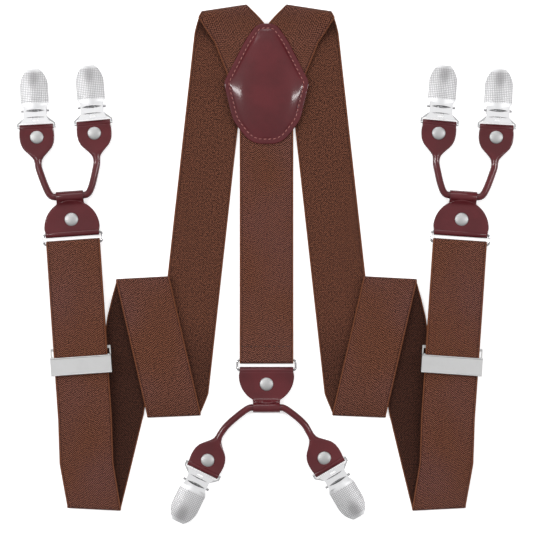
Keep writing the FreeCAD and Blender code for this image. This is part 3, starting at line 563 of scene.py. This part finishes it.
# %% Oxblood leather
def leather(name, edge_dark=1.0, gloss=0.85):
    hide = Finish(name)
    hide.set("Specular IOR Level", 0.2)
    hide.set("Coat IOR", 1.42)
    place = hide.place()
    facing = hide.axes(hide.make("TexCoord", out=1))[2]
    pores = hide.make("TexVoronoi", {"Vector": place, "Scale": 900.0}, feature="DISTANCE_TO_EDGE")
    cloud = hide.noise(place, 45.0, 3.0)
    grain = hide.noise(place, 1500.0, 4.0, 0.65)
    tone = hide.mix(cloud.step(0.35, 0.68), paint(80, 12, 20), paint(92, 19, 27))
    tone = hide.mix(pores.step(0.12, 0.0) * 0.25, tone, paint(70, 14, 22))
    tone = hide.mix(facing.sum("ABSOLUTE").step(0.75, 0.2) * 0.8 * edge_dark, tone, paint(48, 8, 14))
    hide.set("Base Color", tone)
    hide.set("Roughness", 0.42 + grain * 0.14)
    hide.set("Coat Weight", gloss)
    hide.set("Coat Roughness", 0.13)
    hide.bump(pores.step(0.0, 0.25) * 0.6 + grain * 0.5, 0.05 * MM, 0.7)
    return hide


oxblood = leather("oxblood_leather")
patch_hide = leather("padded_leather", 0.5, 0.85)
print("leather finishes ready")

# %% [markdown]
# ## The padded patch
# The patch is two pieces of leather sewn round a thin foam. Its margin lies flat and the middle
# rises from the stitch line like a low cushion. Rings of the outline, moved inwards step by step,
# carry the height of each step, so the rise follows the rounded rhombus exactly; a plain inflated
# shape would lose the flat margin.

# %% Outline of the patch
def hull(points):
    """The outside of a set of flat points, going round once."""
    spots = sorted(set(map(tuple, np.round(points, 4))))

    def chain(order):
        kept = []
        for p in order:
            while len(kept) > 1:
                if np.cross(np.subtract(kept[-1], kept[-2]), np.subtract(p, kept[-1])) > 1e-6:
                    break
                kept.pop()
            kept.append(p)
        return kept[:-1]

    return np.array(chain(spots) + chain(spots[::-1]))


def even(outline, count):
    """The same closed outline through evenly spaced points."""
    loop = np.vstack([outline, outline[:1]])
    length = np.concatenate([[0], np.cumsum(np.linalg.norm(np.diff(loop, axis=0), axis=1))])
    at = np.linspace(0, length[-1], count, endpoint=False)
    return np.stack([np.interp(at, length, loop[:, k]) for k in (0, 1)], 1)


def inset(outline, depth):
    """The outline moved inwards along its own normals."""
    way = np.roll(outline, -1, 0) - np.roll(outline, 1, 0)
    way /= np.linalg.norm(way, axis=1)[:, None]
    return outline + np.stack([-way[:, 1], way[:, 0]], 1) * depth


def flat_points(node):
    return np.array([v.co[:2] for v in nodes[node].data.vertices]) / MM


patch_line = even(hull(flat_points("patch_front")), 160)
patch_middle = (patch_line.min(0) + patch_line.max(0)) / 2
FRONT_LOW, FRONT_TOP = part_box("patch_front")[0].z / MM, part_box("patch_front")[1].z / MM
MARGIN_TOP = FRONT_LOW + 1.0
STITCH_IN = 3.1
RISE_FROM = 3.9
RISE = FRONT_TOP - MARGIN_TOP
print(f"patch outline {np.ptp(patch_line[:, 0]):.1f} x {np.ptp(patch_line[:, 1]):.1f} mm, rise {RISE:.1f} mm")


# %% The patch front
def rounding(share):
    """How many times a ring is evened out: more towards the middle, from none at the margin."""
    return round(2400 * (1 - share)) if share > 0.95 else round(100 + 700 * (1 - share))


def patch_ring(depth, height, share=1.0):
    """One ring of the margin, moved in by its depth, then drawn to the middle and made rounder."""
    ring = inset(patch_line, depth) - patch_middle
    size = np.linalg.norm(ring, axis=1).mean()
    for _ in range(rounding(share)):
        ring = (np.roll(ring, 1, 0) + 2 * ring + np.roll(ring, -1, 0)) / 4
    ring = patch_middle + ring * share * size / np.linalg.norm(ring, axis=1).mean()
    return [(x, y, height) for x, y in ring]


def rise_at(share):
    """Height of the cushion on the ring of that share."""
    return MARGIN_TOP + RISE * (1 - share ** 3.0) ** 0.85


steps = [(0.5, FRONT_LOW), (0.12, FRONT_LOW + 0.12), (0, FRONT_LOW + 0.5), (0.12, MARGIN_TOP - 0.14),
         (0.45, MARGIN_TOP), (1.6, MARGIN_TOP + 0.04), (2.5, MARGIN_TOP), (STITCH_IN, MARGIN_TOP - 0.18),
         (3.7, MARGIN_TOP - 0.06)]
shares = [1, 0.99, 0.975, 0.955, 0.93, 0.9, 0.865, 0.82, 0.77, 0.7, 0.62, 0.53, 0.43, 0.32, 0.2, 0.08]
steps += [(RISE_FROM, rise_at(share), share) for share in shares]
patch_front = finish_piece("patch_leather", skin([patch_ring(*step) for step in steps]), patch_hide, "straps",
                           ["patch_front", "patch_padding"])
BACK_LOW, BACK_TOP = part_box("patch_backing")[0].z / MM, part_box("patch_backing")[1].z / MM
back_steps = [(1.0, BACK_LOW), (0.5, BACK_LOW + 0.1), (0.4, BACK_LOW + 0.4), (0.5, BACK_TOP - 0.1),
              (1.0, BACK_TOP)]
finish_piece("patch_backing_leather", skin([patch_ring(*step) for step in back_steps]), oxblood,
             "straps", ["patch_backing"])
print("patch front and backing made")

# %% [markdown]
# ## Stitches
# The thread shows as short raised stitches that dip into the leather at each end. Each is its own
# small curved capsule, so the row casts real shadows; a painted dash would vanish from the side.

# %% Thread
def twisted(name, dark, light, rough):
    """A thread of fine strands between two colours."""
    thread = Finish(name, Roughness=rough)
    strands = thread.noise(thread.place(), 2600.0, 3.0)
    thread.set("Base Color", thread.mix(strands, dark, light))
    thread.bump(strands, 0.06 * MM)
    return thread


pink_thread = twisted("pink_thread", paint(140, 78, 76), paint(196, 130, 122), 0.6)
brown_thread = twisted("brown_thread", paint(34, 16, 12), paint(66, 34, 26), 0.7)


def stitch(middle, way, length, radius, lift):
    """One stitch: a thin capsule, arched so that its ends dip into the leather."""
    way = Vector(way).normalized()
    side = Vector((-way.y, way.x, 0))
    turns = [2 * math.pi * n / 8 for n in range(8)]
    rings = []
    for k in range(9):
        t = k / 4 - 1
        size = radius * max(0.15, math.sqrt(max(0.0, 1 - t * t * 0.95)))
        at = Vector(middle) + way * (t * length / 2) + Vector((0, 0, lift * (1 - t * t)))
        rings.append([at + side * (size * math.cos(a)) + Vector((0, 0, size * math.sin(a))) for a in turns])
    return skin(rings)


def sewn_line(line, length, radius, lift, slant=0.0):
    """Stitches at the points of a line, each along the line and turned a little."""
    parts = []
    for before, here, after in zip(line, line[1:], line[2:]):
        way = Vector(after) - Vector(before)
        way.z = 0
        way.rotate(Matrix.Rotation(math.radians(slant), 3, "Z"))
        parts.append(stitch(here, way, length, radius, lift))
    return joined(*parts)


STITCH_PITCH = 3.1
LOOP_SEAM_Y = -52.65
stitch_line = inset(patch_line, STITCH_IN)
around = float(np.linalg.norm(np.roll(stitch_line, -1, 0) - stitch_line, axis=1).sum())
stitch_count = round(around / STITCH_PITCH)
line = [(x, y, MARGIN_TOP - 0.1) for x, y in even(stitch_line, stitch_count)]
sewn = sewn_line(line + line[:2], length=1.9, radius=0.29, lift=0.26, slant=8)
finish_piece("patch_stitches", sewn, pink_thread, "straps")
line = [(x, LOOP_SEAM_Y, THICK * 2 + 0.75) for x in np.linspace(-18.6, 17.0, 13)]
sewn = sewn_line(line, length=2.2, radius=0.35, lift=0.3, slant=4)
finish_piece("loop_stitches", sewn, brown_thread, "straps")
print(f"{stitch_count} stitches round the patch")

# %% [markdown]
# ## Leather tabs
# A tab is one strip folded round the ring bar, riveted flat and ended in a loop for the rolled
# cord. Its half-round front layer laps over the band that makes the loop. The flat parts are
# filled from their outlines with a mesh of even triangles, so that they can thicken towards the
# fold; the fold and the loop are short tubes with the bar or the cord inside.

# %% Flat leather with a soft edge
def inside(point, outline):
    """True if a flat point lies within an outline."""
    x, y = point
    nxt = np.roll(outline, -1, 0)
    cross = (outline[:, 1] > y) != (nxt[:, 1] > y)
    with np.errstate(divide="ignore", invalid="ignore"):
        share = (y - outline[:, 1]) / (nxt[:, 1] - outline[:, 1])
        at = outline[:, 0] + share * (nxt[:, 0] - outline[:, 0])
    return bool(np.sum(cross & (x < at)) % 2)


def flat_leather(outline, low, top, edge=0.35, seam=0.16, grid=1.3):
    """A closed sheet of two layers: low and top give its heights at a point, with a seam line between."""
    steps = [(edge, 0, 0), (0.3 * edge, 0, -0.3 * edge), (0, 0, -edge), (0, 0.5, 0.16), (seam, 0.5, 0),
             (0, 0.5, -0.16), (0, 1, edge), (0.3 * edge, 1, 0.3 * edge), (edge, 1, 0)]
    rings = []
    for depth, share, extra in steps:
        ring = inset(outline, depth)
        rings.append([(x, y, top(x, y) * (1 - share) + low(x, y) * share + extra) for x, y in ring])
    count = len(outline)
    points = [p for ring in rings for p in ring]
    faces = []
    for row in range(len(rings) - 1):
        a, b = row * count, (row + 1) * count
        faces += [(a + k, b + k, b + (k + 1) % count, a + (k + 1) % count) for k in range(count)]
    border = inset(outline, edge)
    inner = inset(outline, edge + 0.5 * grid)
    low_corner, high_corner = outline.min(0), outline.max(0)
    spots = [Vector(p) for p in border]
    for x in np.arange(low_corner[0], high_corner[0], grid):
        column = np.arange(low_corner[1], high_corner[1], grid)
        spots += [Vector((x, y)) for y in column if inside((x, y), inner)]
    found, _, made, *_ = geometry.delaunay_2d_cdt(spots, [], [list(range(count))], 1, 1e-6)
    upper, lower = len(points), len(points) + len(found)
    points += [(p.x, p.y, top(p.x, p.y)) for p in found] + [(p.x, p.y, low(p.x, p.y)) for p in found]
    faces += [tuple(upper + i for i in face) for face in made]
    faces += [tuple(lower + i for i in face[::-1]) for face in made]
    return weld(points, faces)


def weld(points, faces):
    """The same faces with points at one place made one."""
    index, kept, to = {}, [], []
    for p in points:
        key = tuple(round(float(c), 4) for c in p)
        if key not in index:
            index[key] = len(kept)
            kept.append(p)
        to.append(index[key])
    return kept, [tuple(to[i] for i in face) for face in faces if len({to[i] for i in face}) > 2]


def hollow_tube(centre, outer, bore, half, rounding=0.3, around=40):
    """A tube along X round (y, z), closed, with softened ends."""
    y, z = centre
    wall = [(half - rounding, outer), (half - 0.3 * rounding, outer - 0.3 * rounding),
            (half, outer - rounding), (half, bore + rounding), (half - rounding, bore)]
    profile = wall + [(-x, r) for x, r in reversed(wall)]
    spokes = [2 * math.pi * k / around for k in range(around)]
    rings = [[(x, y + r * math.cos(a), z + r * math.sin(a)) for x, r in profile] for a in spokes]
    return skin(rings, closed=True)


print("flat leather and tubes ready")

# %% The tabs
TAB_BAR, RING_HEIGHT = 3.3, 2.5
TAB_HALF, TAB_RADIUS, TAB_CENTRE = 17.5, 18.0, 6.8
TAB_LAYER, LOBE_THICK = 1.3, 0.75
BARREL_AT, BARREL_HALF, BARREL_HEIGHT, BARREL_OUTER, BARREL_BORE = 27.3, 8.8, 3.6, 3.5, 2.5


def ease(value, low, high):
    """0 below low, 1 above high and smooth between."""
    share = min(1.0, max(0.0, (value - low) / (high - low)))
    return share * share * (3 - 2 * share)


def swelling(y, towards_barrel):
    """How much a tab layer swells over the ring bar and towards the barrel loop."""
    near_fold = 0.9 * (1 - ease(y, TAB_BAR - 0.2, TAB_BAR + 9.0))
    near_barrel = towards_barrel * ease(y, BARREL_AT - 5.6, BARREL_AT - 2.2)
    return near_fold + near_barrel


def tab_top(x, y):
    return RING_HEIGHT + TAB_LAYER + swelling(y, 1.9)


def tab_low(x, y):
    return RING_HEIGHT - TAB_LAYER - swelling(y, 0.6)


def tab_outline():
    """The half-round flat and the band that leads to the barrel loop."""
    end = BARREL_AT - BARREL_BORE - 0.25
    turn_in = math.asin((BARREL_HALF + 1.2) / TAB_RADIUS)
    right = [(TAB_HALF, TAB_BAR + 0.8), (TAB_RADIUS, TAB_CENTRE)]
    arc = np.linspace(0, math.pi / 2 - turn_in, 28)
    right += [(TAB_RADIUS * math.cos(a), TAB_CENTRE + TAB_RADIUS * math.sin(a)) for a in arc[1:]]
    shoulder = right[-1][1]
    right += [(BARREL_HALF + 0.35, shoulder + 0.45), (BARREL_HALF, shoulder + 1.4), (BARREL_HALF, end)]
    left = [(-x, y) for x, y in reversed(right)]
    return even(np.array(right + left), 150)


def tab_band(x, y):
    """Top of the band, which lies under the half-round front layer."""
    return tab_top(x, y) - 0.45 * (1 - ease(y, 20.0, 24.0))


def lobe_top(x, y):
    """Top of the half-round front layer, which climbs on to the barrel loop."""
    return tab_top(x, y) + 0.95 * ease(y, 20.0, 24.8)


def lobe_low(x, y):
    return lobe_top(x, y) - LOBE_THICK


def lobe_outline():
    """The half-round front layer, which ends over the band that wraps the cord."""
    turns = np.linspace(0, math.pi, 60)
    arc = [(TAB_RADIUS * math.cos(a), TAB_CENTRE + TAB_RADIUS * math.sin(a)) for a in turns]
    return even(np.array([(TAB_HALF, TAB_BAR + 0.8)] + arc + [(-TAB_HALF, TAB_BAR + 0.8)]), 150)


tab_part = joined(
    flat_leather(tab_outline(), tab_low, tab_band),
    flat_leather(lobe_outline(), lobe_low, lobe_top),
    hollow_tube((TAB_BAR, RING_HEIGHT), 2.3, 1.0, TAB_HALF),
    hollow_tube((BARREL_AT, BARREL_HEIGHT), BARREL_OUTER, BARREL_BORE, BARREL_HALF),
)
ENDS = {"left": (LEFT_END, False), "right": (LEFT_END, True), "back": (BACK_END, False)}
for side, (place, mirror) in ENDS.items():
    finish_piece(f"{side}_tab_leather", tab_part, oxblood, f"{side}_tab_body", [f"{side}_tab"],
                 place, mirror)
print("three leather tabs made")

# %% [markdown]
# ## Rolled cords with flared ends
# The strip that joins a pair of clips is rolled into a cord in its middle and opens into two flat
# layers at each end, where it folds round the bar of the clip. One loft does it all: its section
# starts as a wide flat oval, closes to a circle at the neck and opens again. A groove along the
# side is where the edges of the strip meet.

# %% One loft from clip to clip
ROLL, END_HALF, END_LENGTH, END_LAYER = 2.3, 11.0, 23.0, 1.2
END_HEIGHT, END_FOLD, END_FOLD_OUTER, END_FOLD_BORE = 2.35, 2.05, 2.05, 0.85
NECK_HEIGHT = 2.4
GROOVE = 0.3
FLARE_MARKS = [(0, 11.0), (3.7, 11.0), (5.2, 11.3), (8, 11.4), (10, 11.3), (12.5, 10.8), (15.3, 9.6),
               (17.2, 8.1), (19.0, 6.3), (20.5, 4.9), (22.0, 3.6), (23.5, 2.7), (26, ROLL)]
FLARE_CUTS = [3.0, 3.6, 4.4, 5.2, 6.5, 8, 9.5, 11, 12.5, 14, 15.5, 17, 18.2, 19.4, 20.5, 21.5, 22.5,
              23.5, 24.5]


def flare_half(back):
    """Half width of a flared end at a distance from its clip edge."""
    return float(np.interp(back, *zip(*FLARE_MARKS)))


def oval(centre, way, half, height, square):
    """A section between a circle and a flat two-layer strip, with a groove at both sides."""
    way = Vector(way).normalized()
    side = Vector((way.y, -way.x, 0)).normalized()
    up = side.cross(way)
    ring = []
    power = 2 / square
    for k in range(48):
        a = 2 * math.pi * k / 48
        c, s = math.cos(a), math.sin(a)
        x = math.copysign(abs(c) ** power, c) * half
        z = math.copysign(abs(s) ** power, s) * height
        pinch = GROOVE * math.exp(-((abs(s) / 0.12) ** 2))
        x -= math.copysign(pinch, c)
        ring.append(Vector(centre) + side * x + up * z)
    return ring


def smooth_path(points, step=1.0):
    """An even line that rounds the corners of a route, with its directions."""
    line = np.array([tuple(p) for p in points])
    for _ in range(4):
        quarters = np.stack([0.75 * line[:-1] + 0.25 * line[1:], 0.25 * line[:-1] + 0.75 * line[1:]], 1)
        line = np.vstack([line[:1], quarters.reshape(-1, 3), line[-1:]])
    length = np.concatenate([[0], np.cumsum(np.linalg.norm(np.diff(line, axis=0), axis=1))])
    at = np.linspace(0, length[-1], round(length[-1] / step))
    line = np.stack([np.interp(at, length, line[:, k]) for k in range(3)], 1)
    return line, np.gradient(line, axis=0)


def flare(place, outward):
    """Sections of one flared end, from its clip edge to its neck, or from the neck to the edge."""
    rings = []
    for back in FLARE_CUTS:
        shut = ease(back, 12.5, 23.5)
        near_bar = 0.8 * (1 - ease(back, 2.0, 9.0))
        height = END_LAYER + near_bar + (ROLL - END_LAYER) * shut ** 1.5
        square = 9 - 7 * ease(back, 14.0, 23.0)
        centre = place @ Vector((0, -back, END_HEIGHT + (NECK_HEIGHT - END_HEIGHT) * shut))
        way = place.to_3x3() @ Vector((0, 1 if outward else -1, 0))
        rings.append(oval(centre, way, flare_half(back), height, square))
    return rings[::-1] if outward else rings


def rolled(ends, left, right):
    """The whole cord: flare, roll through the barrel, flare, and the folds round the clip bars."""
    necks = [place @ Vector((0, -back, NECK_HEIGHT)) for place in ends for back in (24.5, 28.0)]
    exits = ((-12.4, 0.5), (-8.6, 0), (8.6, 0), (12.4, 0.5))
    barrel = [(x, BARREL_AT + lift, BARREL_HEIGHT) for x, lift in exits]
    line, ways = smooth_path([necks[0], necks[1], *left, *barrel, *right, necks[3], necks[2]])
    tube = [oval(p, w, ROLL, ROLL, 2) for p, w in zip(line[1:-1], ways[1:-1])]
    body = skin(flare(ends[0], False) + tube + flare(ends[1], True))
    folds = []
    for place in ends:
        points, faces = hollow_tube((-END_FOLD, END_HEIGHT), END_FOLD_OUTER, END_FOLD_BORE, END_HALF)
        folds.append(([place @ Vector(p) for p in points], faces))
    print(f"cord with {len(line)} sections")
    return joined(body, *folds)


FRONT_ENDS = [frame_at(-18.6, 75.6, -1.0), frame_at(18.6, 75.6, 1.0)]
BACK_ENDS = [frame_at(-41.9, 67.6, 30.5), frame_at(42.0, 69.4, -26.0)]
front_roll = rolled(FRONT_ENDS, [(-18.3, 44.6, 2.6), (-15.4, 34.4, 3.1)],
                    [(15.4, 34.4, 3.1), (18.3, 44.6, 2.6)])
back_roll = rolled(BACK_ENDS, [(-24.4, 37.4, 3.0)], [(25.2, 38.2, 3.0)])
rolls = {"left": "left_roll", "right": "right_roll", "back": "back_roll_cord"}
for side, (place, mirror) in ENDS.items():
    part = back_roll if side == "back" else front_roll
    finish_piece(f"{side}_roll_leather", part, oxblood, f"{side}_tab_body", [rolls[side]],
                 place, mirror)

# %% [markdown]
# ## Bright steel
# The clips, rings and adjusters are plated steel and keep their exact shapes. The finish adds
# what plating shows, a satin brushing and faint smudges, and darkens the flanks with painted
# shade. A plain mirror finish would show only the pale room.

# %% Plated finishes
def plated(name, tone, rough, brushing=0.06, stretch=(1, 1, 1), flank_shade=0.35):
    """Plated steel: brushed along the direction that the stretch makes long, with painted shade on its
    flanks.
    """
    steel = Finish(name, Metallic=1.0)
    place = steel.place()
    lines = steel.make("Mapping", {"Vector": place, "Scale": stretch})
    scratch = steel.noise(lines, 900.0, 4.0, 0.7)
    smudge = steel.noise(place, 120.0, 3.0)
    facing = steel.axes(steel.make("TexCoord", out=1))[2]
    side = facing.sum("ABSOLUTE").step(0.7, 0.1)
    dull = (*[0.78 * c for c in tone[:3]], 1)
    colour = steel.mix(smudge.step(0.35, 0.75) * 0.25, tone, dull)
    # Painted shade: faces that turn sideways are mixed towards dark grey, by the given strength.
    steel.set("Base Color", steel.mix(side * flank_shade, colour, paint(96, 94, 96)))
    steel.set("Roughness", rough + (scratch - 0.5) * brushing * 2 + smudge * 0.06)
    steel.bump(scratch, 0.02 * MM, 0.5)
    return steel


chrome = plated("bright_chrome", (0.78, 0.785, 0.79, 1), 0.12, 0.03)
ring_steel = plated("ring_steel", (0.52, 0.52, 0.53, 1), 0.14, 0.03, flank_shade=0.7)
rivet_steel = plated("satin_rivet", (0.52, 0.52, 0.52, 1), 0.5, 0.05)
satin = plated("satin_plate", (0.72, 0.72, 0.72, 1), 0.36, 0.08, (0.08, 1, 1))
spring_steel = plated("spring_steel", (0.42, 0.42, 0.43, 1), 0.3)
pin_steel = plated("pin_steel", (0.55, 0.55, 0.56, 1), 0.25)


def dress(names, finish):
    """The finish on exact nodes, with round faces shaded smooth and edges kept crisp."""
    for name in names:
        item = nodes[name]
        item.data.materials.clear()
        item.data.materials.append(finish.material)
        item.data.shade_smooth()
        weld_points = item.modifiers.new("weld", "WELD")
        weld_points.merge_threshold = 0.005 * MM
        crisp = item.modifiers.new("crisp", "EDGE_SPLIT")
        crisp.split_angle = math.radians(32)


dress(["left_ring", "right_ring", "back_ring"], ring_steel)
for side in ("left", "right"):
    dress([f"{side}_adjuster_frame", f"{side}_adjuster_lever"], satin)
    dress([f"{side}_adjuster_pin"], pin_steel)
print("rings and adjusters finished")

# %% [markdown]
# ## Rivets
# Each rivet is a domed cap above and a flat one below, joined by a shank through the leather. A
# turned profile gives the dome its even curve; a squashed sphere would have no rim.

# %% Turned rivets
def turned(x, y, low, top):
    """A rivet turned about an upright axis, holding leather from low to top."""
    dome = [(0.05, 1.3), (1.2, 1.25), (2.3, 1.1), (3.2, 0.86), (3.9, 0.58), (4.25, 0.36), (4.4, 0.16),
            (4.32, -0.02), (1.5, -0.02)]
    foot = [(1.5, 0.02), (4.2, 0.02), (4.4, -0.2), (4.3, -0.55), (3.9, -0.76), (0.05, -0.8)]
    profile = [(r, top + z) for r, z in dome] + [(r, low + z) for r, z in foot]
    spokes = [2 * math.pi * k / 48 for k in range(48)]
    return skin([[(x + r * math.cos(a), y + r * math.sin(a), z) for a in spokes] for r, z in profile])


TAB_RIVET, END_RIVET = 12.2, 8.4
for side, (place, mirror) in ENDS.items():
    parts = [turned(0, TAB_RIVET, RING_HEIGHT - TAB_LAYER, RING_HEIGHT + TAB_LAYER)]
    for end in BACK_ENDS if side == "back" else FRONT_ENDS:
        parts.append(turned(*on(end, 0, -END_RIVET), END_HEIGHT - END_LAYER, END_HEIGHT + END_LAYER))
    finish_piece(f"{side}_rivet_caps", joined(*parts), rivet_steel, f"{side}_tab_body", [f"{side}_rivets"],
                 place, mirror)
print("nine rivets turned")

# %% [markdown]
# ## Clip covers
# The covers have a pressed square grid and a nose, with painted shade in the grooves of the grid,
# on the nose and on the flanks. The grid and the nose are laid out in each clip's own frame, from
# its pin, so they keep straight on clips that lie at an angle. The plates, pins and springs stay exact.

# %% The clips
PIN_AHEAD = 8.55
GRID_PITCH = 1.15
NOSE_CENTRE = 21.5
CLIPS = {
    "left_outer": (LEFT_END @ FRONT_ENDS[0], False), "left_inner": (LEFT_END @ FRONT_ENDS[1], False),
    "right_outer": (LEFT_END @ FRONT_ENDS[0], True), "right_inner": (LEFT_END @ FRONT_ENDS[1], True),
    "back_right": (BACK_END @ BACK_ENDS[0], False), "back_left": (BACK_END @ BACK_ENDS[1], False),
}


def embossed(name, place, mirror):
    """Satin steel with a pressed grid, counted from the clip's own pin."""
    cover = Finish(name, Metallic=0.75)
    pin = place @ Vector((0, PIN_AHEAD, 0))
    turn = place.to_euler().z
    sign = -1 if mirror else 1
    at = {"Vector": cover.place(), "Location": (pin.x * sign * MM, pin.y * MM, 0),
          "Rotation": (0, 0, turn * sign)}
    local = cover.make("Mapping", at, vector_type="TEXTURE")
    x, y, _ = cover.axes(local)
    x, y = x / MM, y / MM
    facing = cover.axes(cover.make("TexCoord", out=1))[2]
    up = facing.step(0.5, 0.8)
    area = y.step(4.6, 5.6) * y.step(26.0, 24.6) * up
    grid = x.wave(GRID_PITCH).sum("MAXIMUM", y.wave(GRID_PITCH))
    lines = grid.step(0.35, 0.95) * area
    ahead = y - NOSE_CENTRE
    nose_shade = (x * x / 14 + ahead * ahead / 40).sum("SQRT").step(1.5, 0.2) * up
    smudge = cover.noise(local, 160.0, 3.0)
    # Painted shade: the grooves of the pressed grid are darkened.
    tone = cover.mix(lines * 0.8, (0.80, 0.80, 0.81, 1), (0.36, 0.35, 0.36, 1))
    # Painted shade: an oval on the nose of the cover is darkened.
    tone = cover.mix(nose_shade * 0.55, tone, (0.26, 0.25, 0.26, 1))
    # Painted shade: faces that turn sideways are darkened.
    tone = cover.mix(facing.sum("ABSOLUTE").step(0.7, 0.1) * 0.5, tone, paint(84, 82, 86))
    cover.set("Base Color", tone)
    cover.set("Roughness", 0.46 + smudge * 0.1 + lines * 0.08)
    cover.bump(1 - lines, 0.14 * MM, 0.8)
    return cover


for clip, (place, mirror) in CLIPS.items():
    dress([f"{clip}_clip_front_plate"], embossed(f"{clip}_cover", place, mirror))
dress([f"{clip}_clip_back_plate" for clip in CLIPS], chrome)
dress([f"{clip}_clip_pin" for clip in CLIPS], pin_steel)
dress([f"{clip}_clip_spring" for clip in CLIPS], spring_steel)
print(f"{len(CLIPS)} clips finished")
